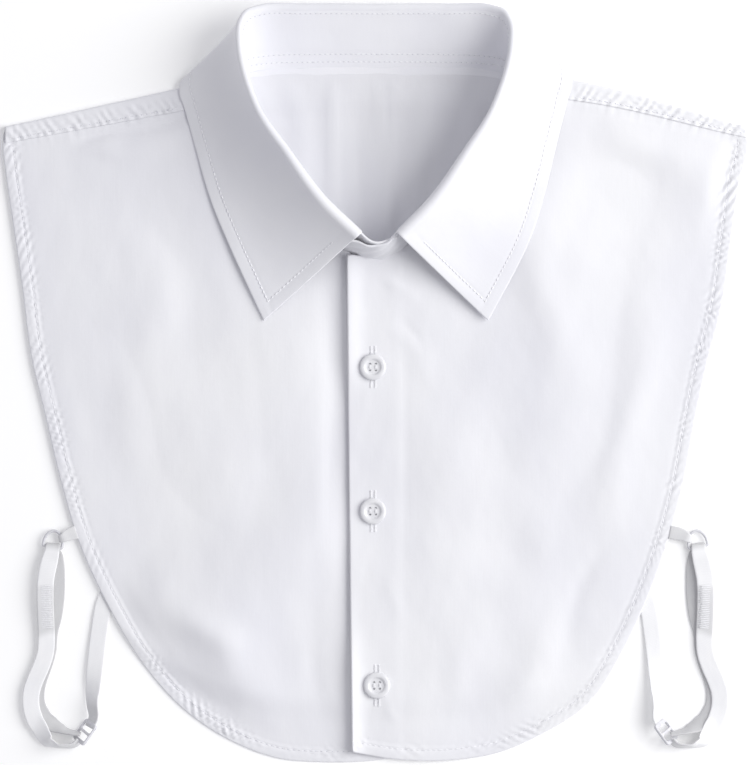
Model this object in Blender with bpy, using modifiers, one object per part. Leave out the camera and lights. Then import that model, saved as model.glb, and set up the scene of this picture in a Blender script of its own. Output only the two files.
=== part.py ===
"""A detachable shirt collar (half shirt) laid flat on its back, its collar standing.

Photo right is +X, photo up is +Y, and the table is z = 0. Tables and sizes are in
millimetres, and the meshes are made in metres. "Across" is measured from the middle
towards the side named, and is positive on both sides.
"""

import math

import bmesh
import bpy
import numpy as np
from mathutils import Matrix, Vector
from mathutils.geometry import delaunay_2d_cdt

MM = 0.001
LEFT, RIGHT = -1, 1

# Cloth
CLOTH = 1.0  # thickness of a panel
GAP = 0.3  # between pieces that touch on the real garment
HEM_WIDTH = 6.2
HEM_RISE = 0.5  # how much thicker the turned hem is
OUTLINE_STEP = 11.0
INNER_STEP = 19.0

# Panels, from the table up
UNDER_BASE = CLOTH + GAP  # underside of a front, on the back panel
LAP_RISE = CLOTH + 0.8  # how much higher the over front lies where it laps the other
NECK_BASE = 3.0  # underside of a front at the neck seam
NECK_REACH = 20.0  # how far that lift reaches
LEAF_ROOM = 1.8  # lift of the back panel where the leaf lies under it
LEAF_ROOM_FROM = 118.0  # the height up the garment where that lift begins
LEAF_ROOM_HALF = 90.0  # and how far across it reaches
ROOM_RAMP = 11.0
STRAP_ROOM_ACROSS = 104.0  # a front stays up over the back strap from here out
STRAP_ROOM_UP = -118.0
SHOULDER_END = 166.7
PLACKET_OVER = -13.0  # the over front's edge, just left of the middle
PLACKET_UNDER = 11.9  # where the under front ends, and the placket's inner fold
PLACKET_RISE = 0.5
LAP_RAMP = 10.0

# Side and bottom edge of each front, from the shoulder corner down: across, up
SIDE_EDGE = {
    LEFT: (
        (166.7, 115.4), (167.6, 110.9), (166.4, 95.0), (164.0, 78.1), (159.1, 44.3),
        (154.6, 10.6), (149.2, -11.9), (141.1, -45.7), (133.9, -70.0), (120.4, -99.7),
        (103.3, -128.0), (88.0, -145.1), (68.2, -159.1), (42.1, -169.0), (25.9, -170.3),
    ),
    RIGHT: (
        (166.3, 115.4), (167.6, 110.9), (163.6, 89.3), (160.4, 66.8), (155.5, 33.1),
        (149.6, 10.6), (144.7, -11.9), (138.4, -45.7), (131.2, -72.2), (120.4, -101.0),
        (110.9, -121.3), (97.0, -142.9), (73.1, -158.6), (56.0, -165.8), (36.2, -169.2),
    ),
}
HEM_CORNER = {LEFT: (-PLACKET_UNDER, -168.2), RIGHT: (-10.6, -165.8)}
HEM_MIDDLE = {LEFT: (8.0, -170.2), RIGHT: (8.8, -169.0)}

# Shoulder fold: across and up at the neck, at the leaf's edge and at the side
SHOULDER_FOLD = {
    LEFT: ((64.5, 136.9), (86.0, 132.1), (SHOULDER_END, 114.3)),
    RIGHT: ((64.5, 138.5), (86.0, 135.7), (SHOULDER_END, 114.3)),
}
SEAM_DROP_NECK = 10.5  # the shoulder seam lies in front of the fold by this
SEAM_DROP_SIDE = 7.0

# The back panel's own hem, hidden under the fronts: up = low + rise * (across / half)^3
BACK_HEM_LOW = -121.0
BACK_HEM_RISE = 42.0
BACK_HEM_HALF = 124.0
BACK_INSET = 1.2  # its side edge lies this far inside the front's

# Collar stations from the middle of the back to the leaf's front edge.
# seam = where the band stands on the panels, roll = top of the collar,
# edge = outer edge of the leaf; each across, up and height
COLLAR = (
    ((0.0, 142.0, 2.3), (0.0, 169.9, 12.0), (0.0, 130.7, 0.5)),
    ((29.5, 141.9, 2.3), (31.5, 169.9, 12.8), (37.0, 130.2, 0.5)),
    ((50.5, 141.2, 2.5), (52.5, 169.0, 16.0), (69.0, 131.0, 0.5)),
    ((57.5, 139.9, 3.25), (58.8, 165.8, 19.5), (81.5, 136.4, 0.6)),
    ((61.0, 137.2, 3.4), (61.0, 160.5, 23.0), (87.2, 136.0, 2.6)),
    ((62.4, 134.0, 3.4), (61.0, 153.0, 26.5), (88.2, 131.0, 5.2)),
    ((62.6, 130.0, 3.3), (59.8, 144.7, 29.5), (86.0, 124.0, 5.0)),
    ((58.6, 118.6, 3.1), (53.0, 124.0, 33.0), (81.7, 108.7, 4.4)),
    ((46.9, 101.8, 3.0), (39.8, 104.2, 33.0), (74.9, 84.8, 4.2)),
    ((31.5, 80.6, 3.0), (25.0, 83.9, 30.5), (65.5, 61.4, 4.5)),
    ((15.0, 62.0, 3.0), (7.0, 66.4, 28.0), (50.2, 28.1, 5.0)),
)
# What the right side adds to it: station, roll across, edge across, edge up
RIGHT_ADDS = (
    (3, 0.0, 0.0, 3.0),
    (4, 0.0, 0.0, 3.6),
    (5, 0.0, 0.0, 3.4),
    (6, 0.0, 0.0, 1.8),
    (8, 1.2, 1.0, 0.0),
    (9, 2.2, 2.6, 0.0),
    (10, 3.6, 0.5, 0.0),
)
# Lapped front ends of the band: X, seam up, top up, top height
BAND_END = {
    LEFT: ((1.5, 58.8, 66.6, 24.3), (10.0, 62.4, 69.6, 23.0)),
    RIGHT: ((1.5, 56.4, 64.2, 24.4), (-10.5, 59.2, 65.6, 23.4)),
}
BAND_SEAM_HEIGHT = 3.0
BAND_THICK = 1.2
LEAF_THICK = 1.0
ROLL_RADIUS = 1.9
LEAF_LEG = 1.7  # the leaf's short inner leg, down to the band's top edge
COLLAR_STEPS = 26  # rows round each half of the collar
FALL_STEPS = (0.12, 0.3, 0.52, 0.76, 1.0)

# Large soft folds of the fronts: ends (X, Y, X, Y), half width, height
FRONT_FOLDS = (
    (-32.0, 58.0, -26.0, -90.0, 17.0, 1.6),
    (-95.0, 70.0, -78.0, -60.0, 24.0, 1.3),
    (-120.0, 20.0, -70.0, -120.0, 15.0, 0.9),
    (88.0, 75.0, 84.0, -40.0, 20.0, 1.6),
    (128.0, 60.0, 104.0, -70.0, 14.0, 0.9),
    (34.0, -20.0, 46.0, -140.0, 18.0, 1.2),
)
BACK_FOLDS = (
    (-22.0, 132.0, -16.0, 60.0, 9.0, 0.7),
    (12.0, 134.0, 8.0, 55.0, 8.0, 0.6),
    (34.0, 130.0, 26.0, 70.0, 8.0, 0.7),
)

# Buttons: X, Y
BUTTONS = ((-1.1, 7.4), (-1.1, -57.4), (0.7, -135.7))
BUTTON_RADIUS = 6.1
BUTTON_HOLE = 0.85
BUTTON_HOLE_OFFSET = 1.75
BUTTON_SIDES = 28
# Half section from the middle of its face, over the rim, to the middle of its back
BUTTON_PROFILE = (
    (0.0, 1.45), (3.5, 1.5), (4.3, 2.1), (5.1, 2.4), (5.8, 2.05),
    (BUTTON_RADIUS, 1.3), (5.7, 0.5), (4.6, 0.0), (0.0, 0.0),
)

# Elastic
STRAP_THICK = 0.9
RING_WIRE = 0.6
RING_HALF = 4.3  # half the straight bar of the D ring, at its wire
RING_RISE = 7.2  # from the bar to the top of its bow
RING_SPRING = 1.2  # where the bow springs from, above the bar
RING_AT = (145.3, -73.4, 1.95)  # the bar's middle: across, up, height
RING_TURN = 10.0
SLIDER_SIZE = (9.6, 11.0, 1.3)  # across the strap, along it, thick
SLIDER_SLOT = (8.2, 3.0)
SLIDER_BAR = 1.3
SLIDER_CORNER = 1.6
SLIDER_AT = (130.5, -156.6, 4.6)
SLIDER_TURN = 35.8
SLIDER_LEAN = 52.0
# Routes of the elastic: across, up, height, lean in degrees, width. A lean of 90 stands
# it on edge, with the edge that is nearer the garment uppermost.
STRAP_LOOP = (
    (135.0, -162.2, 4.1, 70.0, 7.2),
    (141.1, -163.0, 4.3, 80.0, 7.5),
    (145.1, -161.9, 4.0, 65.0, 7.6),
    (149.0, -158.5, 3.3, 45.0, 7.6),
    (151.4, -154.2, 3.1, 40.0, 7.6),
    (154.0, -150.0, 3.2, 42.0, 7.6),
    (155.4, -145.6, 3.4, 47.0, 7.6),
    (155.4, -139.0, 3.3, 45.0, 7.6),
    (153.3, -133.0, 3.0, 40.0, 7.6),
    (150.9, -127.6, 2.7, 34.0, 7.6),
    (148.6, -121.0, 2.5, 28.0, 7.6),
    (148.0, -112.0, 2.6, 20.0, 7.6),
    (148.3, -104.0, 3.5, 24.0, 7.6),
    (148.5, -96.0, 4.0, 24.0, 7.6),
    (148.2, -88.0, 3.7, 12.0, 7.6),
    (146.6, -80.0, 3.4, 3.0, 7.6),
    (145.3, -74.6, 3.3, 0.0, 6.0),
    (145.1, -72.5, 2.9, 0.0, 5.5),
    (145.1, -72.0, 1.95, 0.0, 5.5),
    (145.1, -72.5, 1.0, 0.0, 5.5),
    (145.2, -74.6, 0.6, 0.0, 6.0),
    (144.0, -80.0, 0.65, 0.0, 7.5),
    (143.0, -88.0, 1.05, -6.0, 7.6),
    (141.6, -96.0, 2.9, -35.0, 7.6),
    (141.8, -104.0, 3.9, -65.0, 7.6),
    (142.7, -112.0, 4.3, -82.0, 7.6),
    (144.0, -121.0, 4.3, -86.0, 7.6),
    (146.3, -127.6, 4.25, -80.0, 7.6),
    (148.5, -133.0, 4.1, -72.0, 7.6),
    (150.0, -139.0, 3.9, -64.0, 7.6),
    (149.9, -145.6, 3.9, -62.0, 7.6),
    (148.4, -149.6, 3.95, -64.0, 7.6),
    (145.6, -152.8, 4.1, -70.0, 7.6),
    (141.4, -155.2, 4.3, -80.0, 7.4),
    (135.6, -157.2, 4.6, -84.0, 7.0),
)
STRAP_BACK = (
    (126.8, -150.5, 4.1, 52.0, 7.0),
    (127.2, -145.0, 3.7, 48.0, 7.6),
    (127.0, -137.0, 2.9, 36.0, 7.6),
    (126.0, -126.0, 1.9, 20.0, 7.6),
    (124.4, -112.0, 0.85, 4.0, 7.6),
    (122.4, -100.0, 0.55, 0.0, 7.6),
    (118.6, -90.0, 0.55, 0.0, 7.6),
)
# The tab's first and last rows stand off the front's side edge
TAB = (
    (0.0, -66.8, 2.2, 0.0, 6.2),
    (138.4, -68.2, 2.8, 0.0, 5.4),
    (140.7, -69.5, 3.3, 0.0, 3.6),
    (141.9, -69.9, 2.9, 0.0, 2.9),
    (142.3, -70.0, 1.95, 0.0, 2.8),
    (141.9, -69.9, 1.0, 0.0, 2.9),
    (140.7, -69.5, 0.6, 0.0, 3.6),
    (138.4, -68.2, 0.6, 0.0, 5.4),
    (0.0, -66.8, 0.6, 0.0, 6.2),
)


def smooth(t):
    """0 below 0, 1 above 1, and a soft step between."""
    t = np.clip(t, 0.0, 1.0)
    return t * t * (3.0 - 2.0 * t)


def curve_through(points, count=None, step=None, each=None):
    """A smooth curve through points: count points, a step apart, or each to a stretch."""
    p = np.asarray(points, float)
    knots = np.concatenate([[0.0], np.cumsum(np.linalg.norm(np.diff(p, axis=0), axis=1))])
    gaps = np.diff(knots)[:, None]
    slopes = np.diff(p, axis=0) / gaps
    tangents = np.vstack([slopes[:1], slopes[-1:]])
    if len(p) > 2:
        inner = slopes[:-1] * gaps[1:] + slopes[1:] * gaps[:-1]
        inner = inner / (gaps[1:] + gaps[:-1])
        tangents = np.vstack([slopes[:1], inner, slopes[-1:]])
    if step:
        count = max(2, int(round(knots[-1] / step)) + 1)
    at = np.linspace(0.0, knots[-1], count or 2)
    if each:
        places = np.linspace(0, len(p) - 1, (len(p) - 1) * each + 1)
        at = np.interp(places, np.arange(len(p)), knots)
    i = np.clip(np.searchsorted(knots, at, "right") - 1, 0, len(p) - 2)
    h = gaps[i]
    t = (at - knots[i])[:, None] / h
    return (
        p[i] * (2 * t**3 - 3 * t**2 + 1)
        + tangents[i] * h * (t**3 - 2 * t**2 + t)
        + p[i + 1] * (3 * t**2 - 2 * t**3)
        + tangents[i + 1] * h * (t**3 - t**2)
    )


def joined(*runs):
    """Runs of points end to end, without the points that repeat."""
    points = np.vstack(runs)
    apart = np.linalg.norm(points - np.roll(points, 1, axis=0), axis=1) > 0.05
    return points[apart]


def collar_rows(side):
    """The collar stations of one side, with what the right side adds."""
    rows = np.array(COLLAR, float)
    if side == RIGHT:
        for station, roll_across, edge_across, edge_up in RIGHT_ADDS:
            rows[station, 1, 0] += roll_across
            rows[station, 2, 0] += edge_across
            rows[station, 2, 1] += edge_up
    return rows


def neck_curve(side):
    """The band's seam line in plan from the middle of the back to the front."""
    rows = collar_rows(side)[:, 0, :2]
    ends = BAND_END[RIGHT][::-1] if side == LEFT else BAND_END[RIGHT][:1]
    front = [(side * x, up) for x, up, *_ in ends]
    return curve_through(np.vstack([rows, front]), count=90)


def neck_edge(side):
    """The fronts' neck edge: the seam line moved out past the band's outer face."""
    line = neck_curve(side)
    along = np.gradient(line, axis=0)
    along /= np.linalg.norm(along, axis=1)[:, None]
    outward = np.stack([-along[:, 1], along[:, 0]], axis=1)
    return line + outward * (BAND_THICK / 2 + 2.5 * GAP)


def shoulder_fold(side):
    return curve_through(SHOULDER_FOLD[side], step=OUTLINE_STEP)


def shoulder_seam(side):
    """The seam line in front of the fold, from the neck to the side."""
    fold = shoulder_fold(side)
    share = np.linspace(0.0, 1.0, len(fold))
    drop = SEAM_DROP_NECK + (SEAM_DROP_SIDE - SEAM_DROP_NECK) * share
    return fold - np.stack([np.zeros(len(fold)), drop], axis=1)


def side_edge(side, start_up):
    """The side and bottom edge of a front, from the height start_up down."""
    table = np.array(SIDE_EDGE[side] + (HEM_MIDDLE[side], HEM_CORNER[side]))
    line = curve_through(table, step=OUTLINE_STEP / 8)
    line = line[line[:, 1] < start_up]
    count = max(2, int(round(len(line) / 8)))
    return line[np.linspace(0, len(line) - 1, count).round().astype(int)]


def fold_lift(x, y, table):
    """Height of the soft folds at points of the plan."""
    lift = np.zeros(len(x))
    for x0, y0, x1, y1, half, height in table:
        run = np.array([x1 - x0, y1 - y0])
        t = ((x - x0) * run[0] + (y - y0) * run[1]) / (run @ run)
        off = np.hypot(x - x0 - t * run[0], y - y0 - t * run[1])
        ends = smooth(t * 3 + 0.4) * smooth((1 - t) * 3 + 0.4)
        lift = np.maximum(lift, height * ends * np.exp(-((off / half) ** 2)))
    return lift


def leaf_room(x, y):
    """The back panel's lift over the part of the leaf that lies under it."""
    up = smooth((y - LEAF_ROOM_FROM) / ROOM_RAMP)
    across = smooth((LEAF_ROOM_HALF - np.abs(x)) / ROOM_RAMP)
    return LEAF_ROOM * up * across


def back_hem(across):
    return BACK_HEM_LOW + BACK_HEM_RISE * (across / BACK_HEM_HALF) ** 3


def back_low(x, y):
    """Underside of the back panel."""
    return leaf_room(x, y) + fold_lift(x, y, BACK_FOLDS)


def front_low(x, y, over):
    """Underside of a front: over the back, down to the table below it, up at the neck."""
    across = np.abs(x)
    on_back = smooth((y - back_hem(np.minimum(across, BACK_HEM_HALF)) + 32.0) / 12.0)
    on_strap = smooth((across - STRAP_ROOM_ACROSS) / 8.0)
    on_strap = on_strap * smooth((y - STRAP_ROOM_UP) / 12.0)
    base = UNDER_BASE * np.maximum(on_back, on_strap)
    off_hem = smooth((y + 150.0) / 25.0) * smooth((across - PLACKET_UNDER) / 14.0)
    base = base + leaf_room(x, y) + fold_lift(x, y, FRONT_FOLDS) * off_hem
    line = np.vstack([neck_edge(s) * (s, 1) for s in (LEFT, RIGHT)])
    line = line[line[:, 1] < 128.0]
    far = np.min(np.hypot(x[:, None] - line[None, :, 0], y[:, None] - line[None, :, 1]), axis=1)
    share = np.exp(-((far / NECK_REACH) ** 2))
    base = base + (NECK_BASE - base) * share
    if over:
        base = base + LAP_RISE * smooth((PLACKET_UNDER + 5.0 + LAP_RAMP - x) / LAP_RAMP)
    return base


def inset_loop(loop, width):
    """The loop moved inwards by a width; the loop runs anticlockwise."""
    before = loop - np.roll(loop, 1, axis=0)
    after = np.roll(loop, -1, axis=0) - loop
    before /= np.linalg.norm(before, axis=1)[:, None]
    after /= np.linalg.norm(after, axis=1)[:, None]
    mean = before + after
    mean /= np.linalg.norm(mean, axis=1)[:, None]
    inward = np.stack([-mean[:, 1], mean[:, 0]], axis=1)
    cosine = np.clip((mean * before).sum(axis=1), 0.6, 1.0)
    return loop + inward * (width / cosine)[:, None]


def anticlockwise(loop):
    x, y = loop[:, 0], loop[:, 1]
    area = (x * np.roll(y, -1) - y * np.roll(x, -1)).sum()
    return loop if area > 0 else loop[::-1]


def distance_inside(points, loop):
    """Distance of points from a loop, negative outside it."""
    a, b = loop, np.roll(loop, -1, axis=0)
    run = b - a
    rel = points[:, None, :] - a[None]
    t = np.clip((rel * run).sum(axis=2) / (run * run).sum(axis=1), 0.0, 1.0)
    away = np.linalg.norm(rel - t[..., None] * run, axis=2).min(axis=1)
    crosses = (a[:, 1] > points[:, 1:2]) != (b[:, 1] > points[:, 1:2])
    rise = np.where(run[:, 1] == 0, 1e-12, run[:, 1])
    reach = a[:, 0] + (points[:, 1:2] - a[:, 1]) * run[:, 0] / rise
    inside = (crosses & (points[:, :1] < reach)).sum(axis=1) % 2 == 1
    return np.where(inside, away, -away)


def plan_mesh(loop, rings, step):
    """Triangles over the inside of a loop, with rings of points and a grid between."""
    inner = [inset_loop(loop, width) for width in rings]
    low, high = loop.min(axis=0), loop.max(axis=0)
    xs = np.arange(step * round(low[0] / step), high[0], step)
    ys = np.arange(step * round(low[1] / step), high[1], step)
    grid = np.stack(np.meshgrid(xs, ys), axis=-1).reshape(-1, 2)
    grid = grid[distance_inside(grid, loop) > max(rings) + step * 0.45]
    rings_in = [r[distance_inside(r, loop) > 0.8 * w] for r, w in zip(inner, rings)]
    points = np.vstack([loop, *rings_in, grid])
    n = len(loop)
    edges = [(i, (i + 1) % n) for i in range(n)]
    made = delaunay_2d_cdt([Vector(p) for p in points], edges, [list(range(n))], 1, 1e-6)
    return np.array([tuple(v) for v in made[0]]), [tuple(f) for f in made[2]]


def add_object(name, mesh, group, finish):
    mesh.materials.append(finish)
    obj = bpy.data.objects.new(name, mesh)
    group.objects.link(obj)
    return obj


def mesh_from(name, points, faces):
    """A mesh from points in millimetres, with its doubles merged and faces outwards."""
    mesh = bpy.data.meshes.new(name)
    mesh.from_pydata([tuple(np.asarray(p) * MM) for p in points], [], faces)
    bm = bmesh.new()
    bm.from_mesh(mesh)
    bmesh.ops.remove_doubles(bm, verts=bm.verts, dist=1e-6)
    bmesh.ops.recalc_face_normals(bm, faces=bm.faces)
    bm.to_mesh(mesh)
    bm.free()
    return mesh


def rim_edges(faces):
    """The outer edges of a triangulation, in the direction of its faces."""
    uses = {}
    for face in faces:
        for a, b in zip(face, face[1:] + face[:1]):
            uses[(a, b)] = True
    return [(a, b) for a, b in uses if (b, a) not in uses]


def cloth_plate(name, loop, low_at, thick_at, wraps=()):
    """A panel: top and bottom over the same plan, joined round the rim.

    A wrap is a run of the rim that turns over at the shoulder fold: its function gives,
    for a rim point, the points of its turned strip from the panel's underside to its top.
    """
    plan, faces = plan_mesh(loop, (HEM_WIDTH - 0.7, HEM_WIDTH + 0.7), INNER_STEP)
    low = low_at(plan[:, 0], plan[:, 1])
    top = low + thick_at(plan, loop)
    n = len(plan)
    points = [(*p, z) for p, z in zip(plan, low)] + [(*p, z) for p, z in zip(plan, top)]
    solid = [f[::-1] for f in faces] + [tuple(i + n for i in f) for f in faces]
    chains = {}
    for strip in wraps:
        for i in {i for edge in rim_edges(faces) for i in edge}:
            chain = strip(plan[i], low[i], top[i])
            if chain is not None:
                first = len(points)
                points.extend(chain)
                chains[i] = list(range(first, first + len(chain)))
    for a, b in rim_edges(faces):
        if a in chains and b in chains:
            run_a = [a, *chains[a], a + n]
            run_b = [b, *chains[b], b + n]
            for k in range(len(run_a) - 1):
                solid.append((run_a[k], run_b[k], run_b[k + 1], run_a[k + 1]))
            continue
        solid.append((a, b, b + n, a + n))
        for i in (a, b):
            if i in chains:
                solid.append((i, *chains[i], i + n))
    return mesh_from(name, points, solid)


def shoulder_strip(side):
    """The back panel's turned strip over one shoulder, for cloth_plate."""
    fold = SHOULDER_FOLD[side]
    line = curve_through(fold, count=120) * (side, 1)

    def chain(point, low, top):
        off = np.linalg.norm(line - point, axis=1)
        k = int(off.argmin())
        if off[k] > 0.6:
            return None
        share = k / (len(line) - 1)
        drop = SEAM_DROP_NECK + (SEAM_DROP_SIDE - SEAM_DROP_NECK) * share
        strip_low, strip_top = top + GAP, top + GAP + CLOTH
        middle = (low + strip_top) / 2
        outer, inner = (strip_top - low) / 2, GAP / 2
        arc = [
            (point[0], point[1] + outer * math.cos(a), middle + outer * math.sin(a))
            for a in np.radians([-45, 0, 45, 90])
        ]
        seam = point[1] - drop + GAP
        strip = [(point[0], seam, strip_top), (point[0], seam, strip_low)]
        turn = [(point[0], point[1] + inner, (top + strip_low) / 2)]
        return arc + strip + [(point[0], point[1], strip_low)] + turn

    return chain


def back_thickness(plan, loop):
    away = distance_inside(plan, loop)
    bottom = smooth((95.0 - plan[:, 1]) / 20.0)
    return CLOTH + 0.3 * bottom * smooth((HEM_WIDTH - away) * 2.0)


def front_thickness(side):
    def thick(plan, loop):
        """Thicker along the hem, not at the neck, shoulder seam or placket edge."""
        x, y = plan[:, 0], plan[:, 1]
        away = distance_inside(plan, loop)
        hem = smooth((HEM_WIDTH - away) * 1.5 + 0.5)
        out = smooth((side * x - 100.0) / 10.0) * smooth((104.0 - y) / 4.0)
        low = smooth((-140.0 - y) / 8.0)
        if side == LEFT:
            low = low * smooth((PLACKET_OVER - 4.0 - x) / 8.0)
        extra = HEM_RISE * hem * np.maximum(out, low)
        if side == RIGHT:
            placket = smooth((PLACKET_UNDER - x) * 1.2)
            extra = np.maximum(extra, PLACKET_RISE * placket)
        return CLOTH + extra

    return thick


def back_outline():
    """Middle of the neck to the left shoulder, down, along the hem and up the right."""
    halves = []
    for side in (LEFT, RIGHT):
        rows = collar_rows(side)[:5, 0, :2]
        neck = curve_through(rows, step=OUTLINE_STEP)
        neck = neck[:-1] - (0.0, GAP + 0.15)
        fold = shoulder_fold(side)
        edge = side_edge(side, SHOULDER_FOLD[side][2][1] - 4.0)
        edge = edge - (BACK_INSET, 0.0)
        edge = edge[edge[:, 1] > back_hem(BACK_HEM_HALF) + 3.0]
        across = np.linspace(BACK_HEM_HALF, 0.0, 13)
        hem = np.stack([across, back_hem(across)], axis=1)
        halves.append(joined(neck, fold, edge, hem) * (side, 1))
    return anticlockwise(joined(halves[0], halves[1][::-1]))


def front_outline(side):
    """Neck edge, placket edge, bottom and side edge, and shoulder seam of a front."""
    seam = shoulder_seam(side)
    neck = neck_edge(side)
    neck = neck[neck[:, 1] < seam[0, 1] - 1.5]
    placket_x = -PLACKET_UNDER if side == LEFT else PLACKET_OVER
    past = neck_edge(-side) * (-1, 1)
    past = past[(past[:, 1] < 80.0) & (past[:, 0] > placket_x) & (past[:, 0] < neck[-1, 0] - 1.0)]
    neck = np.vstack([neck, past[::-1], [(placket_x, past[0, 1] + 0.5)]])
    neck = curve_through(neck[::3], step=OUTLINE_STEP / 2)
    end = HEM_CORNER[side]
    placket = curve_through(((placket_x, neck[-1, 1]), end), step=OUTLINE_STEP * 1.4)
    seam = np.vstack([[(neck[0, 0] + 0.8, seam[0, 1])], seam[seam[:, 0] > neck[0, 0] + 4.0]])
    edge = side_edge(side, seam[-1, 1] - 2.0)
    loop = joined(neck, placket, edge[::-1], seam[::-1])
    return anticlockwise(loop * (side, 1))


def collar_grid(side, steps):
    """Seam, roll and edge points round one half, from the middle of the back."""
    rows = collar_rows(side).reshape(len(COLLAR), 9)
    grid = curve_through(rows, count=steps).reshape(-1, 3, 3)
    grid[..., 0] *= side
    return grid


def across_collar(grid, side):
    """Unit vectors up the band and out from it, at each row of a grid."""
    seam, roll = grid[:, 0], grid[:, 1]
    up = roll - seam
    up /= np.linalg.norm(up, axis=1)[:, None]
    along = np.gradient((seam + roll) / 2, axis=0)
    if abs(seam[0, 0]) < 1e-6:
        along[0] = (side, 0.0, 0.0)
    out = np.cross(along, up) * -side
    out /= np.linalg.norm(out, axis=1)[:, None]
    return up, out


def leaf_half(side):
    """Rows of points across the leaf: inner leg, roll and fall."""
    grid = collar_grid(side, COLLAR_STEPS)
    up, out = across_collar(grid, side)
    rows = []
    for (_, roll, edge), b, o in zip(grid, up, out):
        centre = roll - ROLL_RADIUS * b
        row = [centre - ROLL_RADIUS * o - LEAF_LEG * b]
        for turn in np.radians([0, 45, 90, 135, 180]):
            row.append(centre + ROLL_RADIUS * (math.sin(turn) * b - math.cos(turn) * o))
        start = row[-1]
        flat = (edge - start) * (1.0, 1.0, 0.0)
        reach = np.linalg.norm(flat)
        under = smooth((21.0 - roll[2]) / 8.0)
        first = start - b * 0.10 * reach - np.array([0.0, 0.0, 3.0]) * under
        last = edge - flat * (0.62 + 0.18 * under)
        last[2] += 0.3 * (edge[2] - LEAF_THICK / 2)
        for t in FALL_STEPS:
            row.append(
                (1 - t) ** 3 * start
                + 3 * (1 - t) ** 2 * t * first
                + 3 * (1 - t) * t**2 * last
                + t**3 * edge
            )
        row = [p * (1, 1, 0) + (0, 0, max(p[2], LEAF_THICK / 2 + 0.02)) for p in row]
        rows.append(row)
    return rows


def band_half(side):
    """Rows of points up the band, with the lapped end that passes the middle."""
    grid = collar_grid(side, COLLAR_STEPS)
    up, out = across_collar(grid, side)
    rows = []
    for (seam, roll, _), b, o in zip(grid, up, out):
        top = roll - (ROLL_RADIUS + LEAF_LEG + GAP) * b - ROLL_RADIUS * o
        rows.append([seam, (seam + top) / 2 + 0.35 * o, top])
    for x, seam_up, top_up, top_height in BAND_END[side]:
        seam = np.array([x, seam_up, BAND_SEAM_HEIGHT])
        top = np.array([x, top_up, top_height])
        rows.append([seam, (seam + top) / 2, top])
    ends = curve_through(np.array(rows[-4:]).reshape(4, 9), count=10).reshape(-1, 3, 3)
    return rows[:-4] + list(ends)


def shell(name, rows, thickness, group, finish):
    """A grid of points made a wall of the given thickness."""
    height, width = len(rows), len(rows[0])
    points = [p for row in rows for p in row]
    faces = [
        (r * width + c, r * width + c + 1, (r + 1) * width + c + 1, (r + 1) * width + c)
        for r in range(height - 1)
        for c in range(width - 1)
    ]
    obj = add_object(name, mesh_from(name, points, faces), group, finish)
    wall = obj.modifiers.new("Wall", "SOLIDIFY")
    wall.thickness = thickness * MM
    wall.offset = 0.0
    wall.use_even_offset = True
    obj.data.shade_smooth()
    return obj


def ribbon(name, route, side, thickness, group, finish):
    """A flat elastic along a route whose rows give its lean and width."""
    rows = curve_through(route, each=2)
    centre = rows[:, :3] * (side, 1, 1)
    along = np.gradient(centre, axis=0) * (1.0, 1.0, 0.0)
    level = np.stack([-along[:, 1], along[:, 0], np.zeros(len(rows))], axis=1) * side
    for i in range(len(level)):
        size = np.linalg.norm(level[i])
        if i and size < 0.25:
            level[i] = level[i - 1]
            continue
        level[i] /= size
        if i and level[i] @ level[i - 1] < 0:
            level[i] *= -1
    lean = np.radians(rows[:, 3])[:, None]
    broad = level * np.cos(lean) + np.array([0.0, 0.0, 1.0]) * np.sin(lean)
    half = rows[:, 4:5] / 2
    points = [(c - w, c, c + w) for c, w in zip(centre, broad * half)]
    return shell(name, points, thickness, group, finish)


def tab_route(side):
    """The tab's route, starting and ending just off the front's side edge."""
    edge = side_edge(side, SHOULDER_END)
    start = np.interp(-TAB[0][1], -edge[:, 1], edge[:, 0]) + GAP + 0.2
    rows = np.array(TAB)
    rows[[0, -1], 0] = start
    return rows


def tube(name, points, radius, group, finish):
    """A closed wire through points."""
    curve = bpy.data.curves.new(name, "CURVE")
    curve.dimensions = "3D"
    curve.bevel_depth = radius * MM
    curve.bevel_resolution = 2
    line = curve.splines.new("POLY")
    line.points.add(len(points) - 1)
    for spot, p in zip(line.points, points):
        spot.co = (p[0] * MM, p[1] * MM, p[2] * MM, 1.0)
    line.use_cyclic_u = True
    obj = bpy.data.objects.new(name, curve)
    curve.materials.append(finish)
    group.objects.link(obj)
    return obj


def ring_points(side):
    """The D ring in plan: a straight bar below and a bow above."""
    bow = [
        (RING_HALF * math.cos(a), RING_SPRING + (RING_RISE - RING_SPRING) * math.sin(a))
        for a in np.linspace(0.0, math.pi, 13)
    ]
    corners = [(-RING_HALF + 0.5, 0.0), (RING_HALF - 0.5, 0.0)]
    turn = math.radians(RING_TURN)
    x, y, z = RING_AT
    return [
        (
            side * (x + u * math.cos(turn) - v * math.sin(turn)),
            y + u * math.sin(turn) + v * math.cos(turn),
            z,
        )
        for u, v in bow + corners
    ]


def rounded_box(half_x, half_y, corner, middle_y=0.0):
    """Corner points of a rectangle with cut corners."""
    x, y, c = half_x, half_y, corner
    loop = [(x, y - c), (x - c, y), (c - x, y), (-x, y - c)]
    loop += [(-x, c - y), (c - x, -y), (x - c, -y), (x, c - y)]
    return [(u, v + middle_y) for u, v in loop]


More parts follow.
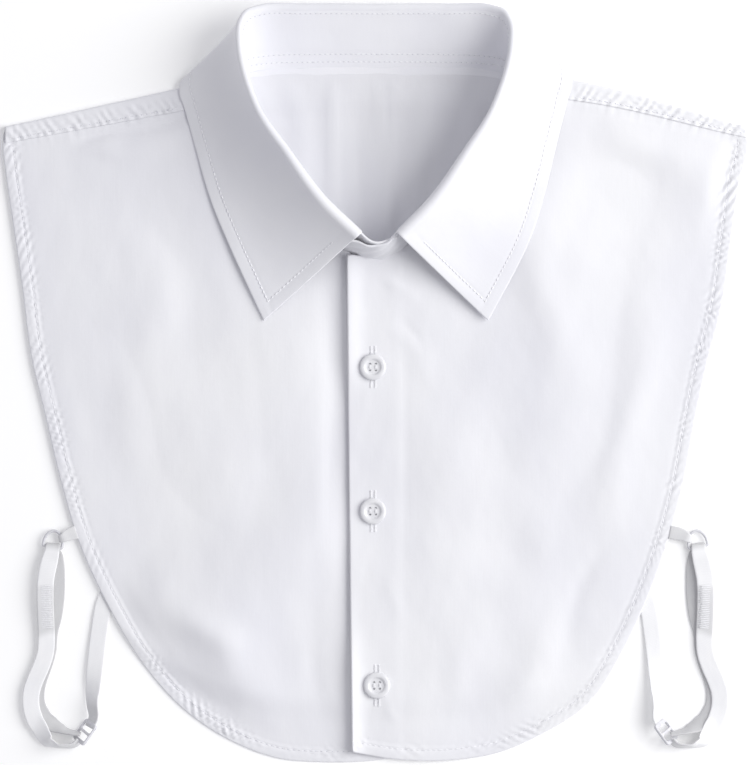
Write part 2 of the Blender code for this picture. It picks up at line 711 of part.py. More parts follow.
def slider(side, group, finish):
    """A flat slider: a frame with a bar across its middle, leaning on the table."""
    name = "slider_left" if side == LEFT else "slider_right"
    curve = bpy.data.curves.new(name, "CURVE")
    curve.dimensions = "2D"
    curve.fill_mode = "BOTH"
    curve.extrude = SLIDER_SIZE[2] / 2 * MM
    slot_half = (SLIDER_SLOT[0] / 2, SLIDER_SLOT[1] / 2)
    slot_at = (SLIDER_BAR + SLIDER_SLOT[1]) / 2
    loops = [rounded_box(SLIDER_SIZE[0] / 2, SLIDER_SIZE[1] / 2, SLIDER_CORNER)]
    loops += [rounded_box(*slot_half, 0.7, s * slot_at) for s in (LEFT, RIGHT)]
    for loop in loops:
        line = curve.splines.new("POLY")
        line.points.add(len(loop) - 1)
        for spot, (u, v) in zip(line.points, loop):
            spot.co = (u * MM, v * MM, 0.0, 1.0)
        line.use_cyclic_u = True
    draft = bpy.data.objects.new(name, curve)
    group.objects.link(draft)
    turn = Matrix.Rotation(math.radians(SLIDER_TURN) * side, 4, "Z")
    lean = Matrix.Rotation(math.radians(SLIDER_LEAN) * side, 4, "Y")
    x, y, z = SLIDER_AT
    place = Matrix.Translation(Vector((side * x, y, z)) * MM)
    bpy.context.view_layer.update()
    graph = bpy.context.evaluated_depsgraph_get()
    mesh = bpy.data.meshes.new_from_object(draft.evaluated_get(graph))
    bpy.data.objects.remove(draft)
    bm = bmesh.new()
    bm.from_mesh(mesh)
    bmesh.ops.remove_doubles(bm, verts=bm.verts, dist=1e-6)
    bmesh.ops.transform(bm, matrix=place @ turn @ lean, verts=bm.verts)
    bmesh.ops.recalc_face_normals(bm, faces=bm.faces)
    bm.to_mesh(mesh)
    bm.free()
    mesh.name = name
    return add_object(name, mesh, group, finish)


def button_mesh(group, cutters, finish):
    """One turned button with its four holes."""
    mesh = bpy.data.meshes.new("button_profile")
    points = [(r * MM, 0.0, z * MM) for r, z in BUTTON_PROFILE]
    mesh.from_pydata(points, [(i, i + 1) for i in range(len(points) - 1)], [])
    turned = bpy.data.objects.new("button_turned", mesh)
    group.objects.link(turned)
    screw = turned.modifiers.new("Turn", "SCREW")
    screw.steps = BUTTON_SIDES
    screw.render_steps = BUTTON_SIDES
    screw.use_merge_vertices = True
    screw.merge_threshold = 0.00001
    bm = bmesh.new()
    for k in range(4):
        angle = math.radians(45 + 90 * k)
        spot = (
            BUTTON_HOLE_OFFSET * math.cos(angle) * MM,
            BUTTON_HOLE_OFFSET * math.sin(angle) * MM,
            0.0,
        )
        bmesh.ops.create_cone(
            bm,
            cap_ends=True,
            segments=8,
            radius1=BUTTON_HOLE * MM,
            radius2=BUTTON_HOLE * MM,
            depth=8.0 * MM,
            matrix=Matrix.Translation(spot),
        )
    drill_mesh = bpy.data.meshes.new("button_drill")
    bm.to_mesh(drill_mesh)
    bm.free()
    drill = bpy.data.objects.new("button_drill", drill_mesh)
    drill.hide_render = True
    drill.display_type = "WIRE"
    cutters.objects.link(drill)
    cut = turned.modifiers.new("Holes", "BOOLEAN")
    cut.operation = "DIFFERENCE"
    cut.object = drill
    bpy.context.view_layer.update()
    graph = bpy.context.evaluated_depsgraph_get()
    made = bpy.data.meshes.new_from_object(turned.evaluated_get(graph))
    made.name = "button"
    made.materials.clear()
    made.materials.append(finish)
    made.shade_smooth()
    made.set_sharp_from_angle(angle=math.radians(40))
    bpy.data.objects.remove(turned)
    return made


def finish_of(name, colour, roughness, metallic=0.0):
    finish = bpy.data.materials.new(name)
    finish.use_nodes = True
    shader = finish.node_tree.nodes["Principled BSDF"]
    shader.inputs["Base Color"].default_value = (*colour, 1.0)
    shader.inputs["Roughness"].default_value = roughness
    shader.inputs["Metallic"].default_value = metallic
    return finish


def clear_scene():
    for obj in list(bpy.data.objects):
        bpy.data.objects.remove(obj)


def new_group(name):
    group = bpy.data.collections.new(name)
    bpy.context.scene.collection.children.link(group)
    return group


def placket_top(x, y):
    low = front_low(np.array([x]), np.array([y]), True)[0]
    return low + CLOTH + PLACKET_RISE


def build():
    clear_scene()
    group = new_group("detachable_shirt_collar")
    cutters = new_group("cutters")
    poplin = finish_of("white_poplin", (0.86, 0.86, 0.9), 0.85)
    elastic = finish_of("white_elastic", (0.88, 0.88, 0.9), 0.75)
    pearl = finish_of("white_resin", (0.9, 0.9, 0.9), 0.3)
    coated = finish_of("white_coated_wire", (0.88, 0.88, 0.88), 0.35)

    strips = [shoulder_strip(side) for side in (LEFT, RIGHT)]
    back = cloth_plate("back_panel", back_outline(), back_low, back_thickness, strips)
    add_object("back_panel", back, group, poplin)
    for side, name in ((LEFT, "front_under"), (RIGHT, "front_over")):
        over = side == RIGHT
        mesh = cloth_plate(
            name,
            front_outline(side),
            lambda x, y, over=over: front_low(x, y, over),
            front_thickness(side),
        )
        add_object(name, mesh, group, poplin)

    leaf = leaf_half(LEFT)[::-1] + leaf_half(RIGHT)[1:]
    shell("collar_leaf", leaf, LEAF_THICK, group, poplin)
    band = band_half(LEFT)[::-1] + band_half(RIGHT)[1:]
    shell("collar_band", band, BAND_THICK, group, poplin)

    mesh = button_mesh(group, cutters, pearl)
    for number, (x, y) in enumerate(BUTTONS, start=1):
        button = bpy.data.objects.new(f"button_{number}", mesh)
        button.location = (x * MM, y * MM, (placket_top(x, y) + GAP) * MM)
        group.objects.link(button)

    for side, word in ((LEFT, "left"), (RIGHT, "right")):
        tube(f"ring_{word}", ring_points(side), RING_WIRE, group, coated)
        slider(side, group, coated)
        ribbon(f"strap_loop_{word}", STRAP_LOOP, side, STRAP_THICK, group, elastic)
        ribbon(f"strap_back_{word}", STRAP_BACK, side, STRAP_THICK, group, elastic)
        ribbon(f"tab_{word}", tab_route(side), side, STRAP_THICK, group, elastic)


build()
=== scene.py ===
# %% [markdown]
# # A detachable shirt collar, laid flat
#
# The real object is a half shirt of white poplin: two fronts, a back, and a standing shirt
# collar. It lies on its back, so the camera looks straight down on it. Elastic straps with
# rings and sliders join front and back at the sides.
#
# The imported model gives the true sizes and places. This script dresses it: every cloth piece
# is made again as a thin shell with hems, seams, creases and stitches.

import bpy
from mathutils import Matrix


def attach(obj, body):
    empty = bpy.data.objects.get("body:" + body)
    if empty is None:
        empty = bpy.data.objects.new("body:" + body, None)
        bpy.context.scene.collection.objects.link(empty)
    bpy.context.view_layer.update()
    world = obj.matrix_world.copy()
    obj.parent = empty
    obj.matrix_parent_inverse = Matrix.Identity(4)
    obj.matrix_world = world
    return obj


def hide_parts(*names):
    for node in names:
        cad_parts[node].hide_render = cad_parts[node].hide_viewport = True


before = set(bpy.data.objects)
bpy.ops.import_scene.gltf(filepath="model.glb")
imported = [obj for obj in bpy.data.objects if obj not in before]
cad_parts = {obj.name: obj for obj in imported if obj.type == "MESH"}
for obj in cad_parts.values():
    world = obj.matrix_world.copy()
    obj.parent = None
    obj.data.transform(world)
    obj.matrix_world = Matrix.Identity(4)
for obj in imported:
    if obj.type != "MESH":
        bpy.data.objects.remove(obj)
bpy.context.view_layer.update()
print("nodes:", sorted(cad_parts))

# %% [markdown]
# The garment is measured in millimetres, as a pattern cutter would, and Blender works in
# metres. All the tables below are in millimetres, and a mesh is scaled once, when it is made.
# Small tools are used all through: one links a new object to the scene, one keeps the
# result of a curve or of modifiers as a plain mesh, one draws lines on a curve, and two
# set up nodes.

# %% Tools and units
import math

import bmesh
import bpy
import numpy as np
from mathutils import Matrix, Vector
from mathutils.geometry import delaunay_2d_cdt

MM = 0.001
LEFT, RIGHT = -1, 1
SIDES = ((LEFT, "left"), (RIGHT, "right"))


def put_in_scene(name, data):
    """A new object with the given data, linked to the scene."""
    obj = bpy.data.objects.new(name, data)
    bpy.context.scene.collection.objects.link(obj)
    return obj


def finished_mesh(draft, name):
    """The mesh that a draft object ends as, without its modifiers. The draft is removed."""
    bpy.context.view_layer.update()
    graph = bpy.context.evaluated_depsgraph_get()
    mesh = bpy.data.meshes.new_from_object(draft.evaluated_get(graph))
    bpy.data.objects.remove(draft)
    mesh.name = name
    return mesh


def straight_spline(curve, points, closed=False):
    """Adds straight lines through points in mm to a curve."""
    line = curve.splines.new("POLY")
    line.points.add(len(points) - 1)
    for spot, p in zip(line.points, points):
        spot.co = (p[0] * MM, p[1] * MM, p[2] * MM, 1.0)
    line.use_cyclic_u = closed


def set_sockets(node, values):
    """Sets inputs of a node, by name or number."""
    for socket, value in values.items():
        node.inputs[socket].default_value = value


def math_node(tree, operation, *values):
    """The output of a Math node. Each of its inputs is a number or another output."""
    node = tree.nodes.new("ShaderNodeMath")
    node.operation = operation
    for socket, value in zip(node.inputs, values):
        if isinstance(value, float):
            socket.default_value = value
        else:
            tree.links.new(value, socket)
    return node.outputs["Value"]


print("tables are in millimetres, meshes in metres")

# %% [markdown]
# ## The camera
#
# The photo is square on to the garment, so the camera hangs above it and looks down. A long
# lens far away keeps the standing collar from growing towards the lens. One pixel is
# 0.45 mm, which comes from the shirt buttons.

# %% Camera
PIXEL = 0.45
FRAME_HIGH = 765
LENS = 350.0
SENSOR = 36.0
VIEW_MIDDLE = (-0.2, 0.45)
CAMERA_HEIGHT = FRAME_HIGH * PIXEL * LENS / SENSOR

camera_data = bpy.data.cameras.new("camera")
camera_data.lens = LENS
camera_data.sensor_width = SENSOR
camera_data.clip_end = 50.0
camera = put_in_scene("camera", camera_data)
camera.location = (VIEW_MIDDLE[0] * MM, VIEW_MIDDLE[1] * MM, CAMERA_HEIGHT * MM)
bpy.context.scene.camera = camera
print("camera height, m:", round(CAMERA_HEIGHT * MM, 2))

# %% [markdown]
# ## Floor and light
#
# White cloth on white needs light with a direction, or every fold vanishes. A large soft
# lamp stands on the right, a weaker one on the left, and the world fills the rest. The
# floor glows a little, so it stays as white as a photo studio's paper.

# %% Floor and light
# lamps: place and width in metres, power in watts, colour
LAMPS = {
    "key_right": ((1.4, 0.19, 1.12), 1.65, 31.0, (1.0, 1.0, 0.985)),
    "fill_left": ((-1.3, 0.5, 1.3), 1.2, 1.4, (0.97, 0.97, 1.0)),
}
SKY_COLOUR = (0.945, 0.945, 1.0, 1.0)
SKY_STRENGTH = 0.49
FLOOR_HALF = 6.0
FLOOR_CORNERS = ((-1, -1), (1, -1), (1, 1), (-1, 1))
FLOOR_HEIGHT = -0.0001
FLOOR_GREY = 0.93
FLOOR_GLOW = 0.15


def lamp(name, place, size, power, colour):
    """A round lamp that shines at the origin."""
    data = bpy.data.lights.new(name, "AREA")
    data.shape = "DISK"
    data.size = size
    data.energy = power
    data.color = colour
    obj = put_in_scene(name, data)
    obj.location = place
    obj.rotation_euler = (-Vector(place)).to_track_quat("-Z", "Y").to_euler()


for name, settings in LAMPS.items():
    lamp(name, *settings)

world = bpy.data.worlds.new("studio")
world.use_nodes = True
set_sockets(world.node_tree.nodes["Background"], {"Color": SKY_COLOUR, "Strength": SKY_STRENGTH})
bpy.context.scene.world = world
bpy.context.scene.view_settings.view_transform = "Standard"

floor_mesh = bpy.data.meshes.new("floor")
corners = [(x * FLOOR_HALF, y * FLOOR_HALF, FLOOR_HEIGHT) for x, y in FLOOR_CORNERS]
floor_mesh.from_pydata(corners, [], [(0, 1, 2, 3)])
floor_finish = bpy.data.materials.new("floor_white")
floor_finish.use_nodes = True
set_sockets(floor_finish.node_tree.nodes["Principled BSDF"], {
    "Base Color": (FLOOR_GREY, FLOOR_GREY, FLOOR_GREY, 1.0),
    "Roughness": 0.9,
    "Emission Color": (1.0, 1.0, 1.0, 1.0),
    "Emission Strength": FLOOR_GLOW,
})
floor_mesh.materials.append(floor_finish)
floor = put_in_scene("floor", floor_mesh)
print("floor and lamps:", len(LAMPS))

# %% [markdown]
# ## Finishes
#
# Poplin is a tight plain weave: threads of about 0.3 mm cross each other, which shows only
# close up, while thicker threads (slubs) show as faint streaks. The weave reads the piece's
# own UV map, which is laid out in metres along the threads, so it follows the cloth round
# the collar. Elastic has ribs, resin has gloss, and coated wire has a soft shine.

# %% Helpers for materials
def plain_finish(name, colour, roughness):
    """A Principled material, its nodes and links, and its shader."""
    made = bpy.data.materials.new(name)
    made.use_nodes = True
    tree = made.node_tree
    shader = tree.nodes["Principled BSDF"]
    set_sockets(shader, {"Base Color": (*colour, 1.0), "Roughness": roughness})
    return made, tree, shader


def uv_waves(tree, across, along):
    """Two wave textures over the UV map, one for each thread direction, added."""
    place = tree.nodes.new("ShaderNodeUVMap")
    place.uv_map = "cut"
    waves = []
    for direction, pitch in (("X", across), ("Y", along)):
        wave = tree.nodes.new("ShaderNodeTexWave")
        wave.wave_type = "BANDS"
        wave.bands_direction = direction
        wave.wave_profile = "SIN"
        # a wave of scale 1 repeats every 2 pi / 20 of the texture's unit
        set_sockets(wave, {"Scale": 2 * math.pi / (20.0 * pitch * MM), "Distortion": 0.0})
        tree.links.new(place.outputs["UV"], wave.inputs["Vector"])
        waves.append(wave.outputs["Fac"])
    return place, math_node(tree, "ADD", *waves)


def streaks(tree, place, scale, seed, detail=3.0):
    """Noise stretched by a scale for each direction of the UV map."""
    mapping = tree.nodes.new("ShaderNodeMapping")
    set_sockets(mapping, {"Scale": (*scale, 1.0), "Location": (seed, seed * 0.7, seed)})
    noise = tree.nodes.new("ShaderNodeTexNoise")
    set_sockets(noise, {"Scale": 1.0, "Detail": detail})
    tree.links.new(place.outputs["UV"], mapping.inputs["Vector"])
    tree.links.new(mapping.outputs["Vector"], noise.inputs["Vector"])
    return noise


def tint(tree, shader, noise, dark, light):
    """Colour between two tints by a noise."""
    ramp = tree.nodes.new("ShaderNodeValToRGB")
    for stop, place, colour in zip(ramp.color_ramp.elements, (0.3, 0.7), (dark, light)):
        stop.position = place
        stop.color = (*colour, 1.0)
    tree.links.new(noise.outputs["Fac"], ramp.inputs["Fac"])
    tree.links.new(ramp.outputs["Color"], shader.inputs["Base Color"])
    return ramp


def bump(tree, shader, height, depth, strength):
    """Fine relief of a height, its depth in mm."""
    node = tree.nodes.new("ShaderNodeBump")
    set_sockets(node, {"Distance": depth * MM, "Strength": strength})
    tree.links.new(height, node.inputs["Height"])
    tree.links.new(node.outputs["Normal"], shader.inputs["Normal"])
    return node


def speckled_finish(name, colour, roughness, scale, dark, light):
    """A plain finish whose colour wavers between two tints in fine specks."""
    made, tree, shader = plain_finish(name, colour, roughness)
    coords = tree.nodes.new("ShaderNodeTexCoord")
    noise = tree.nodes.new("ShaderNodeTexNoise")
    noise.inputs["Scale"].default_value = scale
    tree.links.new(coords.outputs["Object"], noise.inputs["Vector"])
    tint(tree, shader, noise, dark, light)
    return made, tree, shader, noise


print("material helpers ready")

# %% [markdown]
# Each finish could be an image of cloth wrapped round the piece. Nodes are used instead, because
# they stay sharp at any distance and follow the cut of each panel through its UV map. Poplin is a
# fine plain weave with soft crumples. The back is seen from inside, through the neck, and gets a
# greyer copy of the poplin there as painted shade. Elastic is ribbed, with painted shade on its
# return run past the ring and at the strap ends by the sliders, and it is darker also on the short
# tab and where it is sewn down. Buttons are polished resin, and the rings and sliders nylon-coated
# wire.

# %% The finishes
# pitch of the threads and ribs in mm, across and along, and scales of the noises
POPLIN_THREADS = (0.34, 0.30)
SLUBS, SLUB_SHARE = (1100.0, 40.0), 2.2
CRUMPLES = (170.0, 110.0)
CLOUDS = (16.0, 9.0)
ELASTIC_RIBS = (0.75, 0.42)
ELASTIC_CLOUDS = (60.0, 200.0)


def poplin_finish(name, dark, light, grain):
    """Poplin that wavers between two tints, with the depth of its grain."""
    made, tree, shader = plain_finish(name, light, 0.8)
    set_sockets(shader, {"Sheen Weight": 0.15, "Sheen Roughness": 0.5, "Specular IOR Level": 0.25})
    place, weave = uv_waves(tree, *POPLIN_THREADS)
    slubs = streaks(tree, place, SLUBS, 3.0)
    relief = math_node(tree, "MULTIPLY_ADD", slubs.outputs["Fac"], SLUB_SHARE, weave)
    threads = bump(tree, shader, relief, 0.03, grain)
    crumple = streaks(tree, place, CRUMPLES, 5.0, 7.0)
    soft = bump(tree, shader, crumple.outputs["Fac"], 0.5, 0.24)
    tree.links.new(soft.outputs["Normal"], threads.inputs["Normal"])
    tree.links.new(threads.outputs["Normal"], shader.inputs["Normal"])
    clouds = streaks(tree, place, CLOUDS, 8.0)
    tint(tree, shader, clouds, dark, light)
    return made


# darkness of the elastic by its place along the strap, and the length that counts as 1, m: painted
# shade on the return run past the ring and at the strap ends by the sliders, and darker also on
# the short tab and along the sewn patch
TONE_LENGTH = 0.2
ELASTIC_SHADE_TONES = (
    (0.0, 0.78), (0.05, 0.84), (0.07, 1.0), (0.33, 1.0), (0.345, 0.8),
    (0.44, 0.86), (0.45, 1.0), (0.525, 1.0), (0.54, 0.66),
)


def elastic_finish():
    """Ribbed elastic, darker on parts of a strap by their place along it, partly as painted shade.
    """
    made, tree, shader = plain_finish("white_elastic", (0.92, 0.92, 0.94), 0.7)
    set_sockets(shader, {"Sheen Weight": 0.25})
    place, ribs = uv_waves(tree, *ELASTIC_RIBS)
    bump(tree, shader, ribs, 0.06, 0.3)
    clouds = streaks(tree, place, ELASTIC_CLOUDS, 5.0)
    ramp = tint(tree, shader, clouds, (0.88, 0.88, 0.9), (0.94, 0.94, 0.95))
    # painted shade on the return run past the ring and at the strap ends by the sliders; darker
    # also on the short tab and along the sewn patch
    split = tree.nodes.new("ShaderNodeSeparateXYZ")
    tree.links.new(place.outputs["UV"], split.inputs["Vector"])
    share = math_node(tree, "DIVIDE", split.outputs["X"], TONE_LENGTH)
    sides = tree.nodes.new("ShaderNodeValToRGB")
    stops = sides.color_ramp.elements
    for place_at, tone in ELASTIC_SHADE_TONES[2:]:
        stops.new(place_at)
    for stop, (place_at, tone) in zip(stops, ELASTIC_SHADE_TONES):
        stop.position = place_at
        stop.color = (tone, tone, tone, 1.0)
    tree.links.new(share, sides.inputs["Fac"])
    both = tree.nodes.new("ShaderNodeMix")
    both.data_type = "RGBA"
    both.blend_type = "MULTIPLY"
    both.inputs["Factor"].default_value = 1.0
    tree.links.new(ramp.outputs["Color"], both.inputs["A"])
    tree.links.new(sides.outputs["Color"], both.inputs["B"])
    tree.links.new(both.outputs["Result"], shader.inputs["Base Color"])
    return made


poplin = poplin_finish("white_poplin", (0.805, 0.805, 0.85), (0.885, 0.885, 0.905), 0.28)
# a greyer copy of the poplin with a stronger grain: painted shade for the back where it shows
# through the neck
poplin_painted_shade = poplin_finish("white_poplin_painted_shade", (0.75, 0.75, 0.79), (0.81, 0.81, 0.83), 0.42)
elastic = elastic_finish()

thread, _, thread_shader, _ = speckled_finish(
    "white_thread", (0.9, 0.9, 0.92), 0.55, 900.0, (0.84, 0.84, 0.87), (0.92, 0.92, 0.94))
set_sockets(thread_shader, {"Sheen Weight": 0.2})
# painted shade: the grey of the pit where a thread dips into the cloth
painted_hole_shade = speckled_finish(
    "painted_hole_shade", (0.6, 0.6, 0.66), 0.9, 500.0, (0.54, 0.54, 0.6), (0.66, 0.66, 0.72))[0]
resin, _, resin_shader, _ = speckled_finish(
    "white_resin", (0.8, 0.8, 0.83), 0.35, 260.0, (0.77, 0.77, 0.8), (0.83, 0.83, 0.85))
set_sockets(resin_shader, {"Coat Weight": 0.4, "Coat Roughness": 0.1})
wire, wire_nodes, wire_shader, specks = speckled_finish(
    "white_coated_wire", (0.7, 0.7, 0.73), 0.3, 700.0, (0.64, 0.64, 0.68), (0.76, 0.76, 0.79))
bump(wire_nodes, wire_shader, specks.outputs["Fac"], 0.02, 0.4)
print("finishes:", poplin.name, thread.name, elastic.name, resin.name, wire.name)

# %% [markdown]
# ## Curves and soft steps
#
# The same few helpers shape everything: a soft step, a smooth curve through the points of a
# short table, and a soft unevenness made of a few long sine waves with a fixed seed.

# %% Curve helpers
def smooth(t):
    """0 below 0, 1 above 1, and a soft step between."""
    t = np.clip(t, 0.0, 1.0)
    return t * t * (3.0 - 2.0 * t)


def lengths_along(points):
    """Distance along a run of points, from its start to each of them."""
    steps = np.linalg.norm(np.diff(np.asarray(points, float), axis=0), axis=1)
    return np.concatenate([[0.0], np.cumsum(steps)])


def curve_through(points, count=None, step=None, each=None):
    """A smooth curve through points: count points, a step apart, or each to a stretch."""
    p = np.asarray(points, float)
    knots = lengths_along(p)
    gaps = np.diff(knots)[:, None]
    slopes = np.diff(p, axis=0) / gaps
    tangents = np.vstack([slopes[:1], slopes[-1:]])
    if len(p) > 2:
        inner = slopes[:-1] * gaps[1:] + slopes[1:] * gaps[:-1]
        inner = inner / (gaps[1:] + gaps[:-1])
        tangents = np.vstack([slopes[:1], inner, slopes[-1:]])
    if step:
        count = max(2, int(round(knots[-1] / step)) + 1)
    at = np.linspace(0.0, knots[-1], count or 2)
    if each:
        places = np.linspace(0, len(p) - 1, (len(p) - 1) * each + 1)
        at = np.interp(places, np.arange(len(p)), knots)
    i = np.clip(np.searchsorted(knots, at, "right") - 1, 0, len(p) - 2)
    h = gaps[i]
    t = (at - knots[i])[:, None] / h
    return (
        p[i] * (2 * t**3 - 3 * t**2 + 1)
        + tangents[i] * h * (t**3 - 2 * t**2 + t)
        + p[i + 1] * (3 * t**2 - 2 * t**3)
        + tangents[i + 1] * h * (t**3 - t**2)
    )


def at_lengths(points, spots):
    """Points at given distances along a run of points."""
    run = lengths_along(points)
    return np.stack([np.interp(spots, run, points[:, k]) for k in range(points.shape[1])], axis=1)


def unevenness(x, y, size, seed, stretch=1.0):
    """A soft random field of about -1 to 1: waves of a size, longer along y by stretch."""
    dice = np.random.default_rng(seed)
    total = np.zeros(np.shape(x))
    for _ in range(8):
        turn, rate, start = dice.uniform((0, 0.5, 0), (math.pi, 1.5, 2 * math.pi))
        u = x * math.cos(turn) + y / stretch * math.sin(turn)
        total = total + np.sin(2 * math.pi * rate * u / size + start)
    return total / 4.0


print("points on a short curve:", len(curve_through([(0, 0), (1, 1), (2, 0)], step=0.5)))

# %% [markdown]
# Much of the shaping asks how far a spot is from a line, such as a hem or a seam, and
# whether it is inside an outline. The distances of all points from all stretches of a line
# would fill the memory, so they are worked out for a part of the points at a time.

# %% Distances from lines
AT_ONCE = 2000


def unit(rows):
    """Vectors in rows, each made one long."""
    return rows / np.linalg.norm(rows, axis=1)[:, None]


def beside(line, distance):
    """The same line at a distance to its left."""
    along = unit(np.gradient(line, axis=0))
    return line + np.stack([-along[:, 1], along[:, 0]], axis=1) * distance


def nearest(points, line, closed):
    """Distance of points from a line, and how far along it the nearest spot lies."""
    a = line if closed else line[:-1]
    b = np.roll(line, -1, axis=0) if closed else line[1:]
    run = b - a
    square = np.maximum((run * run).sum(axis=1), 1e-12)
    start = np.concatenate([[0.0], np.cumsum(np.sqrt(square))])[:-1]
    away, along = np.empty(len(points)), np.empty(len(points))
    for first in range(0, len(points), AT_ONCE):
        part = slice(first, first + AT_ONCE)
        rel = points[part, None, :] - a[None]
        t = np.clip((rel * run).sum(axis=2) / square, 0.0, 1.0)
        off = np.linalg.norm(rel - t[..., None] * run, axis=2)
        k = off.argmin(axis=1)
        rows = np.arange(len(k))
        away[part] = off[rows, k]
        along[part] = start[k] + t[rows, k] * np.sqrt(square[k])
    return away, along


def inside(points, loop):
    """Whether points lie inside a loop."""
    a, b = loop, np.roll(loop, -1, axis=0)
    rise = np.where(b[:, 1] == a[:, 1], 1e-12, b[:, 1] - a[:, 1])
    crosses = (a[:, 1] > points[:, 1:2]) != (b[:, 1] > points[:, 1:2])
    reach = a[:, 0] + (points[:, 1:2] - a[:, 1]) * (b[:, 0] - a[:, 0]) / rise
    return (crosses & (points[:, :1] < reach)).sum(axis=1) % 2 == 1


square = np.array([(0.0, 0.0), (2.0, 0.0), (2.0, 2.0), (0.0, 2.0)])
print("distance of a square's middle:", nearest(square.mean(axis=0)[None], square, closed=True)[0])

# %% [markdown]
# ## Sizes of the garment
#
# These tables are the garment's own: the outline of each front, the shoulder folds, the
# buttons' places, and the collar at eleven stations from the middle of the back to its
# front edge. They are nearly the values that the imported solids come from, so a piece lies
# where its solid lies.

# %% Sizes and tables
SHOULDER_END = 166.7
PLACKET_OVER = -13.0
PLACKET_UNDER = 11.9
SIDE_EDGE = {
    LEFT: (
        (166.7, 115.4), (167.6, 110.9), (166.4, 95.0), (164.0, 78.1), (159.1, 44.3),
        (154.6, 10.6), (149.2, -11.9), (141.1, -45.7), (133.9, -70.0), (120.4, -99.7),
        (103.3, -128.0), (88.0, -145.1), (68.2, -159.1), (42.1, -169.0), (25.9, -170.3),
    ),
    RIGHT: (
        (166.3, 115.4), (167.6, 110.9), (163.6, 89.3), (160.4, 66.8), (155.5, 33.1),
        (149.6, 10.6), (144.7, -11.9), (138.4, -45.7), (131.2, -72.2), (120.4, -101.0),
        (110.9, -121.3), (97.0, -142.9), (73.1, -158.6), (56.0, -165.8), (36.2, -169.2),
    ),
}
HEM_CORNER = {LEFT: (-PLACKET_UNDER, -168.2), RIGHT: (-10.6, -165.8)}
HEM_MIDDLE = {LEFT: (8.0, -170.2), RIGHT: (8.8, -169.0)}
SHOULDER_FOLD = {
    LEFT: ((64.5, 136.9), (86.0, 132.1), (SHOULDER_END, 114.3)),
    RIGHT: ((64.5, 138.5), (86.0, 135.7), (SHOULDER_END, 114.3)),
}
SEAM_DROP = {LEFT: (10.5, 6.6), RIGHT: (9.5, 4.0)}
BUTTONS = ((-1.1, 7.4), (-1.1, -57.4), (0.7, -135.7))
BUTTONHOLE_HALF = 9.2
BACK_HEM_LOW = -121.0
BACK_HEM_RISE = 42.0
BACK_HEM_HALF = 124.0
BACK_INSET = 1.2

# collar stations: where the band stands, the top of the roll, the leaf's outer edge
COLLAR = (
    ((0.0, 142.0, 2.3), (0.0, 169.9, 12.0), (0.0, 130.7, 0.5)),
    ((29.5, 141.9, 2.3), (31.5, 169.9, 12.8), (37.0, 130.2, 0.5)),
    ((50.5, 141.2, 2.5), (52.5, 169.0, 16.0), (69.0, 131.0, 0.5)),
    ((57.5, 139.9, 3.25), (58.8, 165.8, 19.5), (81.5, 136.4, 0.6)),
    ((61.0, 137.2, 3.4), (61.0, 160.5, 23.0), (87.2, 136.0, 2.6)),
    ((62.4, 134.0, 3.4), (61.0, 153.0, 26.5), (88.2, 131.0, 5.2)),
    ((62.6, 130.0, 3.3), (59.8, 144.7, 29.5), (86.0, 124.0, 5.0)),
    ((58.6, 118.6, 3.1), (53.0, 124.0, 33.0), (81.7, 108.7, 4.4)),
    ((46.9, 101.8, 3.0), (39.8, 104.2, 33.0), (74.9, 84.8, 4.2)),
    ((31.5, 80.6, 3.0), (25.0, 83.9, 30.5), (65.5, 61.4, 4.5)),
    ((15.0, 62.0, 3.0), (7.0, 66.4, 28.0), (50.2, 28.1, 5.0)),
)
# what the right side adds to it: station, roll across, edge across, edge up
RIGHT_ADDS = (
    (3, 0.0, 0.0, 3.0),
    (4, 0.0, 0.0, 3.6),
    (5, 0.0, 0.0, 3.4),
    (6, 0.0, 0.0, 1.8),
    (8, 1.2, 1.0, 0.0),
    (9, 2.2, 2.6, 0.0),
    (10, 3.6, 0.5, 0.0),
)
# how much closer the left leaf's edge lies on its front, by station
LEFT_CLOSER = (0.0, 0.0, 0.0, 0.0, 0.3, 1.9, 1.9, 1.6, 1.3, 0.9, 0.5)
BAND_END = {
    LEFT: ((1.5, 57.0, 63.0, 22.9), (10.0, 60.9, 66.0, 22.0)),
    RIGHT: ((1.5, 55.6, 61.6, 22.8), (-14.0, 60.0, 65.2, 21.6)),
}
BAND_SEAM_HEIGHT = 3.0
ROLL_BACK, ROLL_FRONT = 1.15, 2.3
LEAF_LEG = 1.7
print("collar stations:", len(COLLAR))

# %% [markdown]
# A panel's edge could be drawn as one long list of points. It is put together here from
# the lines that a cutter knows, the neck, the shoulder and the hem, so that two panels
# sewn together share the same line exactly.

# %% Lines of the garment, from the tables
BAND_THICK = 1.1
NECK_CLEAR = -0.6


def collar_rows(side):
    """The collar's stations on one side, with what that side adds."""
    rows = np.array(COLLAR, float)
    if side == RIGHT:
        for station, roll_across, edge_across, edge_up in RIGHT_ADDS:
            rows[station, 1, 0] += roll_across
            rows[station, 2, 0] += edge_across
            rows[station, 2, 1] += edge_up
    else:
        rows[:, 2, 2] -= LEFT_CLOSER
    return rows


def neck_edge(side):
    """The fronts' neck edge, just outside the band's foot."""
    rows = collar_rows(side)[:, 0, :2]
    ends = BAND_END[RIGHT][::-1] if side == LEFT else BAND_END[RIGHT][:1]
    line = curve_through(np.vstack([rows, [(side * x, up) for x, up, *_ in ends]]), count=90)
    return beside(line, NECK_CLEAR)


def shoulder_fold(side, step):
    return curve_through(SHOULDER_FOLD[side], step=step)


def shoulder_seam(side, step):
    """The seam lies in front of the fold, by a drop from neck to side."""
    fold = shoulder_fold(side, step)
    share = np.linspace(0.0, 1.0, len(fold))
    at_neck, at_side = SEAM_DROP[side]
    drop = at_neck + (at_side - at_neck) * share
    return fold - np.stack([np.zeros(len(fold)), drop], axis=1)


